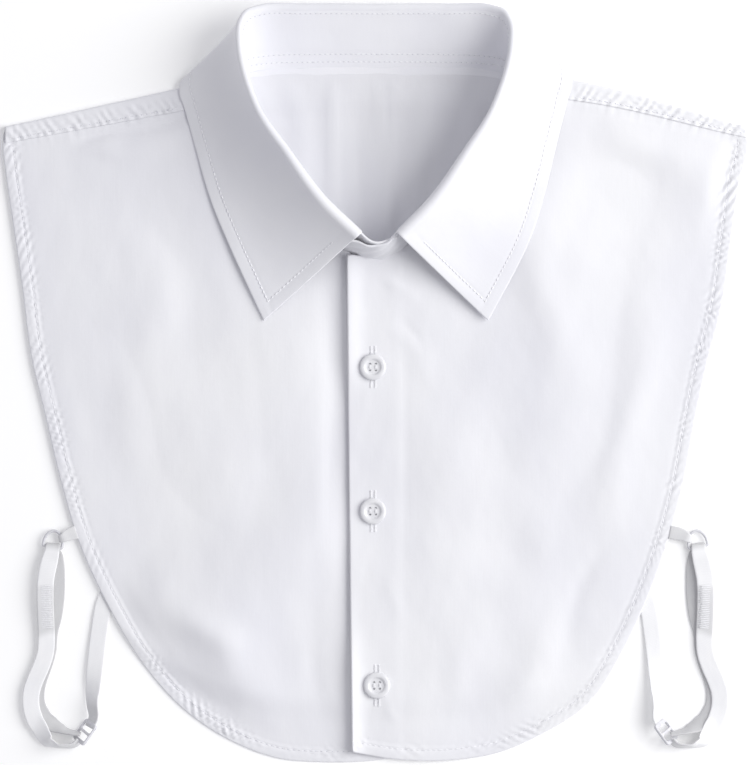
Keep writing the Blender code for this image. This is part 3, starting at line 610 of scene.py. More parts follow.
def side_edge(side, start_up, step):
    """Side and bottom edge of a front, from the height start_up down."""
    table = np.array(SIDE_EDGE[side] + (HEM_MIDDLE[side], HEM_CORNER[side]))
    line = curve_through(table, step=step)
    return line[line[:, 1] < start_up]


def back_hem(across):
    """Height of the back's bottom hem, by distance from the middle."""
    return BACK_HEM_LOW + BACK_HEM_RISE * (across / BACK_HEM_HALF) ** 3


print("left hem line, mm:", round(lengths_along(side_edge(LEFT, 200, 1.5))[-1]))

# %% [markdown]
# ## How high each panel lies
#
# The back lies on the floor. It rises a little over the part of the collar leaf that is
# folded under it. The fronts lie on the back, come down to the floor below the back's hem,
# and rise to meet the collar at the neck. The soft folds are ridges along short lines.

# %% Height of the panels
UNDER_BASE = 1.3
LAP_RISE = 1.8
NECK_BASE = 3.0
NECK_REACH = 20.0
LEAF_ROOM = 1.8
LEAF_ROOM_FROM = 118.0
LEAF_ROOM_HALF = 90.0
ROOM_RAMP = 11.0
STRAP_ROOM_ACROSS = 104.0
STRAP_ROOM_UP = -118.0
LAP_RAMP = 42.0
# folds: ends (x, y, x, y), half width, height
FRONT_FOLDS = (
    (-32.0, 58.0, -26.0, -90.0, 17.0, 1.6),
    (-95.0, 70.0, -78.0, -60.0, 24.0, 1.3),
    (-120.0, 20.0, -70.0, -120.0, 15.0, 0.9),
    (88.0, 75.0, 84.0, -40.0, 20.0, 1.6),
    (128.0, 60.0, 104.0, -70.0, 14.0, 0.9),
    (34.0, -20.0, 46.0, -140.0, 18.0, 1.2),
)
BACK_FOLDS = (
    (-22.0, 132.0, -16.0, 60.0, 9.0, 0.7),
    (12.0, 134.0, 8.0, 55.0, 8.0, 0.6),
    (34.0, 130.0, 26.0, 70.0, 8.0, 0.7),
)


def fold_lift(x, y, table):
    """Height of soft folds along the lines of a table."""
    lift = np.zeros(len(x))
    for x0, y0, x1, y1, half, height in table:
        run = np.array([x1 - x0, y1 - y0])
        t = ((x - x0) * run[0] + (y - y0) * run[1]) / (run @ run)
        off = np.hypot(x - x0 - t * run[0], y - y0 - t * run[1])
        ends = smooth(t * 3 + 0.4) * smooth((1 - t) * 3 + 0.4)
        lift = np.maximum(lift, height * ends * np.exp(-((off / half) ** 2)))
    return lift


def leaf_room(x, y):
    """Room for the leaf, which is folded in below the back's neck."""
    up = smooth((y - LEAF_ROOM_FROM) / ROOM_RAMP)
    return LEAF_ROOM * up * smooth((LEAF_ROOM_HALF - np.abs(x)) / ROOM_RAMP)


def back_low(x, y):
    """Underside of the back panel."""
    return leaf_room(x, y) + fold_lift(x, y, BACK_FOLDS)


def front_low(x, y, over):
    """Underside of a front: on the back, on the floor or up at the collar."""
    across = np.abs(x)
    on_back = smooth((y - back_hem(np.minimum(across, BACK_HEM_HALF)) + 32.0) / 12.0)
    on_strap = smooth((across - STRAP_ROOM_ACROSS) / 8.0)
    on_strap = on_strap * smooth((y - STRAP_ROOM_UP) / 12.0)
    base = UNDER_BASE * np.maximum(on_back, on_strap)
    off_hem = smooth((y + 150.0) / 25.0) * smooth((across - PLACKET_UNDER) / 14.0)
    base = base + leaf_room(x, y) + fold_lift(x, y, FRONT_FOLDS) * off_hem
    line = np.vstack([neck_edge(s)[::3] * (s, 1) for s in (LEFT, RIGHT)])
    line = line[line[:, 1] < 128.0]
    far = nearest(np.stack([x, y], axis=1), line, closed=False)[0]
    share = np.exp(-((far / NECK_REACH) ** 2))
    base = base + (NECK_BASE - base) * share
    if over:
        base = base + LAP_RISE * smooth((PLACKET_UNDER + 5.0 + LAP_RAMP - x) / LAP_RAMP)
    return base


middle_height = front_low(np.array([60.0]), np.array([0.0]), True)
print("height of the over front's middle, mm:", middle_height.round(2))

# %% [markdown]
# ## Panels as fine meshes
#
# A panel is cut from an outline. Rings of points follow the outline closely, where the hem
# needs them, and an even grid fills the rest. The same triangles, once for the top and once
# for the underside, meet at the rim, so the cloth is a closed thin shell with a soft edge.

# %% Mesh helpers
EDGE_ROUND = 0.55
HEM_RINGS = (0.14, 0.4, 0.8, 1.5, 2.3, 3.1, 3.8, 4.3, 4.8, 5.3, 5.9, 6.5, 7.4, 8.4, 9.5)


def inset_loop(loop, width):
    """A loop moved inwards by a width."""
    before = unit(loop - np.roll(loop, 1, axis=0))
    after = unit(np.roll(loop, -1, axis=0) - loop)
    mean = unit(before + after)
    inward = np.stack([-mean[:, 1], mean[:, 0]], axis=1)
    cosine = np.clip((mean * before).sum(axis=1), 0.6, 1.0)
    return loop + inward * (width / cosine)[:, None]


def anticlockwise(loop):
    x, y = loop[:, 0], loop[:, 1]
    area = (x * np.roll(y, -1) - y * np.roll(x, -1)).sum()
    return loop if area > 0 else loop[::-1]


def joined(*runs):
    points = np.vstack(runs)
    return points[np.linalg.norm(points - np.roll(points, 1, axis=0), axis=1) > 0.3]


def plan_mesh(loop, step):
    """Triangles over the inside of a loop, and each point's distance from the loop."""
    rings = [ring_inside(loop, width) for width in HEM_RINGS]
    low, high = loop.min(axis=0), loop.max(axis=0)
    xs = np.arange(low[0], high[0], step)
    ys = np.arange(low[1], high[1], step)
    grid = np.stack(np.meshgrid(xs, ys), axis=-1).reshape(-1, 2)
    grid = grid[inside(grid, loop)]
    grid = grid[nearest(grid, loop, closed=True)[0] > HEM_RINGS[-1] + step * 0.5]
    points = np.vstack([loop, *rings, grid])
    n = len(loop)
    edges = [(i, (i + 1) % n) for i in range(n)]
    made = delaunay_2d_cdt([Vector(p) for p in points], edges, [list(range(n))], 1, 1e-6)
    plan = np.array([tuple(v) for v in made[0]])
    return plan, np.array(made[2]), nearest(plan, loop, closed=True)[0]


def ring_inside(loop, width):
    ring = inset_loop(loop, width)
    ring = ring[inside(ring, loop)]
    return ring[nearest(ring, loop, closed=True)[0] > 0.85 * width]


def rim_edges(faces):
    """Outer edges of a triangulation, in the direction of its faces."""
    uses = set()
    for a, b, c in faces.tolist():
        uses.update(((a, b), (b, c), (c, a)))
    return [(a, b) for a, b in uses if (b, a) not in uses]


print("rings along a hem:", len(HEM_RINGS))

# %% [markdown]
# Every cloth piece carries a UV map of its flat cut, in metres, for the weave. Four small
# steps clean a mesh: they merge doubles, split large faces, drop loose points and turn the
# faces out.

# %% Cloth as objects, and clean meshes
def cloth_object(name, points, faces, cuts, finish):
    """A smooth mesh object from points in mm, with a UV map of the cut in metres."""
    mesh = bpy.data.meshes.new(name)
    mesh.from_pydata((np.asarray(points) * MM).tolist(), [], faces)
    layer = mesh.uv_layers.new(name="cut")
    corners = np.empty(len(mesh.loops), np.int32)
    mesh.loops.foreach_get("vertex_index", corners)
    layer.data.foreach_set("uv", (np.asarray(cuts)[corners] * MM).astype(np.float32).ravel())
    mesh.materials.append(finish)
    mesh.shade_smooth()
    return put_in_scene(name, mesh)


def merge_doubles(bm):
    bmesh.ops.remove_doubles(bm, verts=bm.verts, dist=1e-6)


def split_large(bm):
    bmesh.ops.triangulate(bm, faces=[f for f in bm.faces if len(f.verts) > 4])


def drop_loose(bm):
    bmesh.ops.delete(bm, geom=[v for v in bm.verts if not v.link_faces], context="VERTS")


def faces_out(bm):
    bmesh.ops.recalc_face_normals(bm, faces=bm.faces)


def clean(mesh, *steps):
    """Runs the steps above on a mesh."""
    bm = bmesh.new()
    bm.from_mesh(mesh)
    for step in steps:
        step(bm)
    bm.to_mesh(mesh)
    bm.free()


cleaning = (merge_doubles, split_large, drop_loose, faces_out)
print("cleaning steps:", len(cleaning))

# %% [markdown]
# ## Hem, puckers and creases
#
# A narrow hem is turned twice, so it is three layers thick, and its stitching pulls it into
# small slanting puckers. They are waves along the hem that fade out on both sides of the
# stitches, and they are tallest where the real hem is gathered most.

# %% Surface of the hem
HEM_WIDTH = 5.9
HEM_HEIGHT = 0.26
HEM_STITCH = 4.8
HEM_GROOVE = 0.27
HEM_STEP = 0.9
HEM_CROWN = 0.16
INNER_GROOVE = 0.55
GROOVE_HALF = 0.5
PUCKER_HEIGHT = 0.3
PUCKER_PITCH = 4.4
PUCKER_SLANT = 1.0
PUCKER_WANDER = 3.6
PUCKER_GRAIN = 0.55
# where a hem is gathered most: place (x, y), reach, extra strength
GATHERS = (
    (-84.0, -140.0, 22.0, 0.8), (-66.0, -154.0, 14.0, 1.1), (-150.0, -30.0, 22.0, 0.6),
    (68.0, -158.0, 20.0, 1.0), (96.0, -138.0, 14.0, 0.5), (148.0, 20.0, 34.0, 0.7),
    (160.0, 84.0, 22.0, 0.6), (132.0, -72.0, 16.0, 0.6), (-116.0, -102.0, 30.0, -0.7),
    (-20.0, -168.0, 30.0, -0.6), (30.0, -166.0, 14.0, -0.5), (-22.0, -167.0, 8.0, 1.3),
)


def hem_swell(away):
    """Height of the turned hem over its panel, by distance from the edge."""
    inner = smooth((HEM_WIDTH + 0.5 - away) / HEM_STEP)
    groove = np.exp(-(((away - HEM_STITCH) / GROOVE_HALF) ** 2))
    groove += INNER_GROOVE * np.exp(-(((away - HEM_WIDTH - HEM_STEP) / GROOVE_HALF) ** 2))
    crown = HEM_CROWN * np.sin(np.pi * np.clip(away / HEM_STITCH, 0, 1))
    return HEM_HEIGHT * inner + crown - HEM_GROOVE * groove


def puckers(away, along, strength, seed, slant):
    """Slanting waves across a stitched hem."""
    wander = PUCKER_WANDER * unevenness(along, along * 0, 30.0, seed)
    phase = (along + wander - slant * away) * 2 * math.pi / PUCKER_PITCH
    size = 0.5 + 0.8 * unevenness(along, along * 0, 21.0, seed + 1) + 0.35 * (strength - 1.0)
    size = np.clip(size, 0.08, 1.3)
    window = smooth((away + 0.2) / 2.6) * smooth((10.0 - away) / 5.0)
    grain = PUCKER_GRAIN * unevenness(along, away * 1.4, 3.2, seed + 2)
    grain = grain * smooth((8.5 - away) / 3.0)
    return PUCKER_HEIGHT * strength * window * (size * np.sin(phase) + grain)


print("hem height 3 mm in, mm:", round(float(hem_swell(np.array([3.0]))[0]), 2))

# %% [markdown]
# Cloth that was worn and laid out again keeps soft creases. A cloth simulation gives
# creases, but not these ones, so each is a row in a table: a ridge or a trough along a
# short line, bent and widened a little, so that no two look alike.

# %% Creases of the panels
CLOTH_SHOWN = 0.55
CREASE_DEPTH = 1.6
# creases of the fronts: ends (x, y, x, y), half width, height (a trough is below 0)
FRONT_CREASES = (
    (-61.0, 44.0, -60.0, -70.0, 17.0, 1.0),
    (-61.0, -60.0, -54.0, -150.0, 25.0, 2.3),
    (-100.0, -82.0, -64.0, -130.0, 12.0, 1.3),
    (-92.0, 84.0, -90.0, 0.0, 16.0, -0.8),
    (-132.0, 109.0, -84.0, 124.0, 4.5, -1.1),
    (-130.0, 103.0, -84.0, 115.0, 6.0, 0.6),
    (-118.0, 10.0, -90.0, -90.0, 16.0, -0.4),
    (-22.0, 48.0, -20.0, -60.0, 4.0, -0.25),
    (-32.0, -70.0, -22.0, -150.0, 6.0, -0.3),
    (79.0, 100.0, 78.0, 0.0, 14.0, 0.9),
    (106.0, 122.0, 156.0, 76.0, 14.0, 1.15),
    (104.0, 100.0, 126.0, 72.0, 11.0, -0.35),
    (48.0, 26.0, 51.0, -66.0, 15.0, 0.8),
    (76.0, -18.0, 70.0, -92.0, 12.0, 0.7),
    (74.0, -84.0, 62.0, -148.0, 14.0, 0.9),
    (120.0, 40.0, 108.0, -60.0, 9.0, 0.5),
    (100.0, -70.0, 84.0, -132.0, 6.0, -0.35),
    (6.0, 50.0, 16.0, 36.0, 3.4, 0.3),
    (10.0, 24.0, 26.0, 2.0, 4.0, 0.25),
    (-98.0, 40.0, -110.0, -40.0, 9.0, 0.4),
    (56.0, -100.0, 30.0, -140.0, 9.0, 0.4),
    (14.0, 30.0, 20.0, 14.0, 2.6, -0.16),
    (13.4, 12.0, 13.0, -80.0, 1.3, -0.1),
    (3.5, -139.0, 9.0, -152.0, 1.8, 0.22),
    (7.0, -86.0, 12.0, -112.0, 2.5, 0.14),
)
# the same for the back, where it shows through the neck
BACK_CREASES = (
    (-38.0, 134.0, -30.0, 76.0, 4.0, 0.4),
    (-20.5, 137.0, -17.0, 66.0, 1.7, 0.42),
    (-8.0, 138.0, -6.0, 60.0, 2.0, -0.3),
    (1.0, 138.0, 3.0, 60.0, 1.4, 0.3),
    (7.5, 138.0, 7.0, 60.0, 1.4, 0.34),
    (13.0, 136.0, 10.0, 60.0, 2.0, -0.3),
    (24.0, 136.0, 16.0, 62.0, 2.0, 0.4),
    (46.0, 130.0, 33.0, 78.0, 4.0, 0.45),
    (17.0, 132.0, 14.0, 64.0, 20.0, 0.9),
    (-90.0, 80.0, -70.0, -60.0, 9.0, 0.3),
    (70.0, 60.0, 84.0, -50.0, 9.0, 0.3),
    (-20.0, 20.0, 16.0, -90.0, 11.0, 0.3),
)


def creases(x, y, table):
    """Sum of uneven ridges and troughs along the lines of a table."""
    total = np.zeros(len(x))
    for number, (x0, y0, x1, y1, half, height) in enumerate(table):
        run = np.array([x1 - x0, y1 - y0])
        size = np.linalg.norm(run)
        t = ((x - x0) * run[0] + (y - y0) * run[1]) / size**2
        off = ((y - y0) * run[0] - (x - x0) * run[1]) / size
        bend = half * 0.5 * np.sin(t * 5.0 + number * 1.7)
        spread = half * (1.0 + 0.35 * np.sin(t * 4.0 + number))
        ends = smooth(t * 2.5 + 0.35) * smooth((1 - t) * 2.5 + 0.35)
        total += CREASE_DEPTH * height * ends * np.exp(-(((off - bend) / spread) ** 2))
    return total


print("creases of the fronts and the back:", len(FRONT_CREASES), len(BACK_CREASES))

# %% [markdown]
# The visible face of a front is a height over the table at each spot: its folds, its
# turned hem with puckers, the gathers of the shoulder seam, and on the upper front the
# placket with its buttonholes. The same function also puts stitches and buttons at the
# right height later, which a sculpted mesh could not.

# %% Top of a front
PLACKET_CREASE = 11.9
PLACKET_GROOVE = 0.08
FACING_HEIGHT = 0.25
SEAM_PUCKER = 0.24
GATHER_PITCH = 4.1
# soft unevenness of the cloth: height, size of the waves, seed, stretch along y
WAVER = ((0.28, 62.0, 11, 2.2), (0.1, 19.0, 21, 1.8), (0.03, 6.5, 41, 3.0))
HEM_PULL = {LEFT: 1.0, RIGHT: 0.85}


def seam_line(side):
    """The shoulder seam on its own side of the garment."""
    return shoulder_seam(side, 2.0) * (side, 1)


def gathers(run, slant):
    """Uneven waves along a gathered seam."""
    return np.sin(run * 2 * math.pi / GATHER_PITCH + 1.6 * np.sin(run * 0.21) - slant)


def seam_ripple(points, side):
    """Small gathers along a shoulder seam, fading to both sides."""
    off, run = nearest(points, seam_line(side), closed=False)
    ripple = gathers(run, 0.0)
    ripple *= 0.7 + 0.6 * np.sin(run * 0.47 + side)
    return SEAM_PUCKER * ripple * np.exp(-((off / 3.6) ** 2))


def front_detail(points, side):
    """What a front's surface adds to its plain height, and its share of hem."""
    x, y = points[:, 0], points[:, 1]
    hem_line = side_edge(side, 200.0, 1.5) * (side, 1)
    away, along = nearest(points, hem_line, closed=False)
    total = creases(x, y, FRONT_CREASES)
    for height, size, seed, stretch in WAVER:
        total += height * unevenness(x, y, size, seed + side, stretch)
    off = nearest(points, seam_line(side), closed=False)[0]
    total *= smooth((away - 4.0) / 11.0) * smooth((off - 0.5) / 4.5)
    strength = np.full(len(x), HEM_PULL[side])
    for gx, gy, reach, extra in GATHERS:
        strength += extra * np.exp(-(((x - gx) ** 2 + (y - gy) ** 2) / reach**2))
    total += hem_swell(away) + puckers(away, along, strength, 31 + side, side * PUCKER_SLANT)
    total += seam_ripple(points, side)
    if side == RIGHT:
        fold = np.exp(-(((x - PLACKET_CREASE) / 0.8) ** 2)) * smooth((60.0 - y) / 10.0)
        facing = smooth((PLACKET_CREASE - x) * 0.4 + 0.5)
        total += FACING_HEIGHT * facing - PLACKET_GROOVE * fold
        total += button_pull(x, y)
        total += edge_lift(x, y)
    return total


print("tallest gather of a seam, mm:", seam_ripple(seam_line(LEFT), LEFT).max().round(2))

# %% [markdown]
# The over front has more to show: its free edge stands off a little, and each button
# presses the cloth down, with the slit of its buttonhole above and below. Whatever a front
# does, it may not sink into what it lies on, so its height is kept above that.

# %% Placket, buttons' dips and the rest on what lies below
EDGE_LIFT = 0.25
EDGE_LIFT_HIGH = 2.0
EDGE_LIFT_LOW = 3.0
EDGE_LIFT_HALF = 5.5
BUTTON_DIP = 0.22
BUTTON_DIP_HALF = 7.0
SLIT_DEPTH = 0.3
SLIT_HALF = 0.35
REST_GAP = 0.35
REST_BLEND = 0.12


def edge_lift(x, y):
    """The placket's free edge stands off the under front, most just below the collar."""
    high = EDGE_LIFT_HIGH * smooth((y + 12.0) / 30.0) * smooth((70.0 - y) / 12.0)
    low = EDGE_LIFT_LOW * smooth((-90.0 - y) / 50.0)
    return (EDGE_LIFT + high + low) * np.exp(-(((x - PLACKET_OVER) / EDGE_LIFT_HALF) ** 2))


def button_pull(x, y):
    """A small dip under each button, and the slit of its buttonhole."""
    total = np.zeros(len(x))
    for bx, by in BUTTONS:
        off = np.hypot(x - bx, (y - by) * 0.8)
        total -= BUTTON_DIP * np.exp(-((off / BUTTON_DIP_HALF) ** 2))
        slit = np.exp(-(((x - bx) / SLIT_HALF) ** 2))
        total -= SLIT_DEPTH * (slit * smooth(BUTTONHOLE_HALF - 1.0 - np.abs(y - by)))
    return total


def rest_height(x, y):
    """Top of what lies below a front: the back panel, or the table."""
    on_back = smooth((y - back_hem(np.minimum(np.abs(x), BACK_HEM_HALF)) + 5.0) / 4.0)
    return 0.05 + on_back * (back_low(x, y) + CLOTH_SHOWN + 0.4)


def soft_max(one, other, blend):
    """The larger of two heights, without a kink between them."""
    return (one + other + np.sqrt((one - other) ** 2 + blend**2)) / 2


def front_top(points, side):
    """Visible face of a front, never below what it lies on."""
    x, y = points[:, 0], points[:, 1]
    wanted = front_low(x, y, side == RIGHT) + CLOTH_SHOWN + front_detail(points, side)
    return soft_max(wanted, rest_height(x, y) + REST_GAP, REST_BLEND)


print("front face beside the top button, mm:", front_top(np.array([(8.0, 7.4)]), RIGHT).round(2))

# %% [markdown]
# A front is cut as one flat shape: neck, shoulder, side and bottom hem, and the middle.
# Its points are filled in with triangles that get finer towards the hem, where the
# puckers are, and each point is then lifted to the height of the cloth.

# %% Outline of a front
OUTLINE_STEP = 1.5
SEAM_LAP = 1.8
FRONT_STEP = 1.9


def front_outline(side):
    seam = shoulder_seam(side, OUTLINE_STEP) + (0.0, SEAM_LAP)
    neck = neck_edge(side)
    neck = neck[neck[:, 1] < seam[0, 1] - 1.5]
    placket_x = -PLACKET_UNDER if side == LEFT else PLACKET_OVER
    past = neck_edge(-side) * (-1, 1)
    past = past[(past[:, 1] < 80.0) & (past[:, 0] > placket_x) & (past[:, 0] < neck[-1, 0] - 1.0)]
    neck = np.vstack([neck, past[::-1], [(placket_x, past[0, 1] + 0.5)]])
    neck = curve_through(neck[::3], step=OUTLINE_STEP)
    end = HEM_CORNER[side]
    placket = curve_through(((placket_x, neck[-1, 1]), end), step=OUTLINE_STEP)
    seam = np.vstack([[(neck[0, 0] + 0.8, seam[0, 1])], seam[seam[:, 0] > neck[0, 0] + 2.0]])
    edge = side_edge(side, seam[-1, 1] - 1.0, OUTLINE_STEP)
    return anticlockwise(joined(neck, placket, edge[::-1], seam[::-1]) * (side, 1))


def rim_softness(away):
    """0 at a panel's edge and 1 inside it, as a quarter circle."""
    return np.sqrt(1 - (1 - np.clip(away / EDGE_ROUND, 0, 1)) ** 2)


def front_panel(name, side):
    """A front as a closed shell, from its outline and its two heights."""
    loop = front_outline(side)
    plan, faces, away = plan_mesh(loop, FRONT_STEP)
    low = front_low(plan[:, 0], plan[:, 1], side == RIGHT)
    top = front_top(plan, side)
    middle, half = (low + top) / 2, (top - low) / 2 * rim_softness(away)
    inner = top - CLOTH_SHOWN - smooth(HEM_WIDTH + 1.0 - away) * (top - CLOTH_SHOWN - low)
    under = np.where(away < EDGE_ROUND, middle - half, inner)
    under = np.maximum(under, np.minimum(rest_height(*plan.T), middle + half - 0.02))
    n = len(plan)
    points = np.vstack([np.column_stack([plan, middle + half]), np.column_stack([plan, under])])
    rim = {i for edge in rim_edges(faces) for i in edge}
    same = np.arange(n) + n
    for i in rim:
        same[i] = i
    solid = faces.tolist() + same[faces[:, ::-1]].tolist()
    obj = cloth_object(name, points, solid, np.vstack([plan, plan]), poplin)
    clean(obj.data, drop_loose)
    print(name, "triangles:", len(obj.data.polygons))
    return obj


# %% [markdown]
# The under front runs on below the placket, as on every buttoned shirt, and the over
# front lies on it. Both come from the same function, so only their outlines differ.

# %% Make the two fronts
front_under = front_panel("cloth_front_under", LEFT)
front_over = front_panel("cloth_front_over", RIGHT)

# %% [markdown]
# ## The back
#
# The back is one piece of cloth. At the shoulders it turns over, and its turned strip is
# sewn to the front a little in front of the fold. So each rim point along a shoulder gets a
# chain of points that runs round the fold and along the strip.

# %% Outline and turned strips of the back
BACK_DEPTH = 1.7
BACK_STEP = 2.6
STRIP_CLOTH = 0.35
STRIP_ROWS = 12
STRIP_WAVES = 0.32


def back_outline():
    """Neck, shoulder folds, sides and bottom hem of the back."""
    halves = []
    for side in (LEFT, RIGHT):
        rows = collar_rows(side)[:5, 0, :2]
        neck = curve_through(rows, step=2.0)[:-1] + (0.0, 0.6)
        fold = shoulder_fold(side, 0.85)
        edge = side_edge(side, SHOULDER_FOLD[side][2][1] - 2.0, 2.0)
        edge[:, 0] -= BACK_INSET * smooth((111.0 - edge[:, 1]) / 8.0)
        edge = edge[edge[:, 1] > back_hem(BACK_HEM_HALF) + 2.0]
        across = np.linspace(BACK_HEM_HALF, 0.0, 62)
        hem = np.stack([across, back_hem(across)], axis=1)
        halves.append(joined(neck, fold, edge, hem) * (side, 1))
    return anticlockwise(joined(halves[0], halves[1][::-1]))


def strip_surface(x, y, side):
    """Height of the turned strip's top: level with the front beside it, and puckered."""
    points = np.stack([x, y], axis=1)
    off, run = nearest(points, seam_line(side), closed=False)
    low = front_low(x, y - 3.0, side == RIGHT)
    chain = gathers(run, 0.8 * off) * (0.8 + 0.5 * np.sin(run * 0.47))
    chain = chain + 0.5 * unevenness(run, off * 1.5, 4.0, 61 + side)
    ripple = STRIP_WAVES * chain * smooth(off / 1.5) * smooth((9.0 - off) / 5.0)
    ripple = ripple + seam_ripple(points, side)
    edge = np.clip(SHOULDER_END + 0.6 - np.abs(x), 0.0, 20.0)
    lift = 0.5 + hem_swell(edge) * 0.6 + ripple - 0.16 * np.exp(-(((off - 1.9) / 0.5) ** 2))
    return low + CLOTH_SHOWN + lift


def strip_chain(point, low, side, line):
    """Points of the turned strip for one rim point, from the underside to the top."""
    off = np.linalg.norm(line - point, axis=1)
    k = int(off.argmin())
    if off[k] > 0.7:
        return None
    share = k / (len(line) - 1)
    at_neck, at_side = SEAM_DROP[side]
    seam = point[1] - at_neck - (at_side - at_neck) * share + 0.25
    ys = np.linspace(point[1], seam, STRIP_ROWS)
    tops = strip_surface(np.full(STRIP_ROWS, point[0]), ys, side)
    middle, outer = (low + tops[0]) / 2, (tops[0] - low) / 2
    arc = [
        (point[0], point[1] + outer * math.cos(a), middle + outer * math.sin(a))
        for a in np.radians(np.linspace(-70, 70, 7))
    ]
    strip = [(point[0], v, z) for v, z in zip(ys, tops)]
    under = [(point[0], v, z - STRIP_CLOTH) for v, z in zip(ys[::-1], tops[::-1])]
    turn = [(point[0], point[1] + outer - STRIP_CLOTH, middle)]
    return arc + strip + under + turn


print("points of the back's outline:", len(back_outline()))

# %% [markdown]
# The flat part of the back is meshed like a front. It shows only through the neck, so its creases
# are kept to there, and below the fronts it stays flat. The rim is then closed with a wall, or
# with the chains of the turned strip where there are any. The face that shows through the neck is
# seen from the cloth's inside, and the flat part gets the greyer poplin there as painted shade.

# %% Back panel
def back_panel(name):
    """The back as a closed shell with its turned shoulder strips."""
    loop = back_outline()
    plan, faces, away = plan_mesh(loop, BACK_STEP)
    x, y = plan[:, 0], plan[:, 1]
    low = back_low(x, y)
    hem = smooth((95.0 - y) / 20.0)
    detail = BACK_DEPTH * creases(x, y, BACK_CREASES) + 0.22 * unevenness(x, y, 34.0, 51, 2.0)
    in_neck = smooth((y - 42.0) / 22.0) * smooth((72.0 - np.abs(x)) / 14.0)
    detail *= smooth((away - 2.0) / 10.0) * in_neck
    lie = np.maximum(detail, 0.0)
    low = low + lie * 0.9
    top = low + CLOTH_SHOWN + 0.45 * hem * smooth(HEM_WIDTH + 0.5 - away)
    soft = rim_softness(away)
    n = len(plan)
    rim = rim_edges(faces)
    lines = {s: curve_through(SHOULDER_FOLD[s], count=160) * (s, 1) for s in (LEFT, RIGHT)}
    chains, points = {}, []
    for side in (LEFT, RIGHT):
        for i in {i for edge in rim for i in edge}:
            chain = strip_chain(plan[i], low[i], side, lines[side])
            if chain:
                chains[i] = list(range(2 * n + len(points), 2 * n + len(points) + len(chain)))
                points += chain
    middle, half = (low + top) / 2, (top - low) / 2
    for i in chains:
        soft[i] = 1.0
    body = [np.column_stack([plan, middle + s * half * soft]) for s in (1, -1)]
    solid = faces.tolist() + (faces[:, ::-1] + n).tolist()
    for a, b in rim:
        run_a = [a + n, *chains.get(a, []), a]
        run_b = [b + n, *chains.get(b, []), b]
        if a in chains and b in chains:
            for k in range(len(run_a) - 1):
                solid.append((run_a[k], run_b[k], run_b[k + 1], run_a[k + 1]))
            continue
        solid.append((a + n, b + n, b, a))
        for run in (run_a, run_b):
            if len(run) > 2:
                solid.append(tuple(run))
    cuts = np.vstack([plan, plan, [(p[0], p[1]) for p in points]])
    obj = cloth_object(name, np.vstack([*body, points]), solid, cuts, poplin)
    # the flat part's faces get the greyer poplin as painted shade, and the turned strips keep the
    # plain poplin
    obj.data.materials.append(poplin_painted_shade)
    for face in obj.data.polygons:
        face.material_index = int(max(face.vertices) < 2 * n)
    clean(obj.data, *cleaning)
    obj.data.shade_smooth()
    print(name, "triangles:", len(obj.data.polygons))
    return obj


back = back_panel("cloth_back")

# %% [markdown]
# ## The collar
#
# A shirt collar has a band that stands round the neck and a leaf that falls over it. Both
# follow the stations of the table: at each one, the leaf goes up a short inner leg, round
# the roll, and down in a smooth curve to its outer edge. The leaf is stiffened with
# interlining, so it keeps a clean form with a sharp point.

# %% Sheets over a grid of points
EDGE_SPOTS = (0.0, 0.12, 0.35, 0.8)


def even_run(points, count):
    """A run of points taken again: close together at both ends and even between."""
    whole = lengths_along(points)[-1]
    ends = np.array(EDGE_SPOTS)
    middle = np.linspace(ends[-1], whole - ends[-1], count)
    return at_lengths(points, np.concatenate([ends[:-1], middle, (whole - ends[:-1])[::-1]]))


def even_grid(grid, rows, columns):
    """A grid of points taken again, even both ways."""
    grid = np.stack([even_run(line, columns) for line in grid])
    grid = np.stack([even_run(line, rows) for line in grid.transpose(1, 0, 2)])
    return grid.transpose(1, 0, 2)


def grid_normals(grid):
    normal = np.cross(np.gradient(grid, axis=0), np.gradient(grid, axis=1))
    return normal / np.maximum(np.linalg.norm(normal, axis=2), 1e-9)[..., None]


def grid_lengths(grid):
    """Distances along the rows and along the columns of a grid."""
    across = np.stack([lengths_along(line) for line in grid])
    along = np.stack([lengths_along(line) for line in grid.transpose(1, 0, 2)]).T
    return along, across


def thick_sheet(name, grid, thickness, finish):
    """A closed shell round a grid of points, with rounded rims."""
    along, across = grid_lengths(grid)
    rim = np.minimum(along, along[-1:] - along)
    rim = np.minimum(rim, np.minimum(across, across[:, -1:] - across))
    push = grid_normals(grid) * (thickness / 2 * rim_softness(rim))[..., None]
    rows, columns = rim.shape
    points = np.vstack([(grid + push).reshape(-1, 3), (grid - push).reshape(-1, 3)])
    index = np.arange(rows * columns).reshape(rows, columns)
    quads = np.stack([index[:-1, :-1], index[1:, :-1], index[1:, 1:], index[:-1, 1:]], axis=-1)
    quads = quads.reshape(-1, 4)
    solid = quads.tolist() + (quads[:, ::-1] + rows * columns).tolist()
    half = columns // 2
    down_middle = np.broadcast_to(along[:, half : half + 1], along.shape)
    cuts = np.stack([down_middle, across], axis=-1).reshape(-1, 2)
    obj = cloth_object(name, points, solid, np.vstack([cuts, cuts]), finish)
    clean(obj.data, *cleaning)
    obj.data.shade_smooth()
    print(name, "faces:", len(obj.data.polygons))
    return obj


print("sheet helpers ready")

# %% [markdown]
# The leaf is the part of the collar that folds over: one piece from point to point, with
# stiff interlining. It is a grid whose rows run from the seam up over a round roll and
# down to the outer edge. A simulated leaf would sag, and a real stiffened one does not.

# %% Collar leaf
LEAF_THICK = 0.95
COLLAR_STEPS = 120
STITCH_IN = 5.6
LEAF_MID_LOW = LEAF_THICK / 2 + 0.05
LEAF_GRID = (330, 64)


def bezier(a, b, c, d, t):
    return (1 - t) ** 3 * a + 3 * (1 - t) ** 2 * t * b + 3 * (1 - t) * t**2 * c + t**3 * d


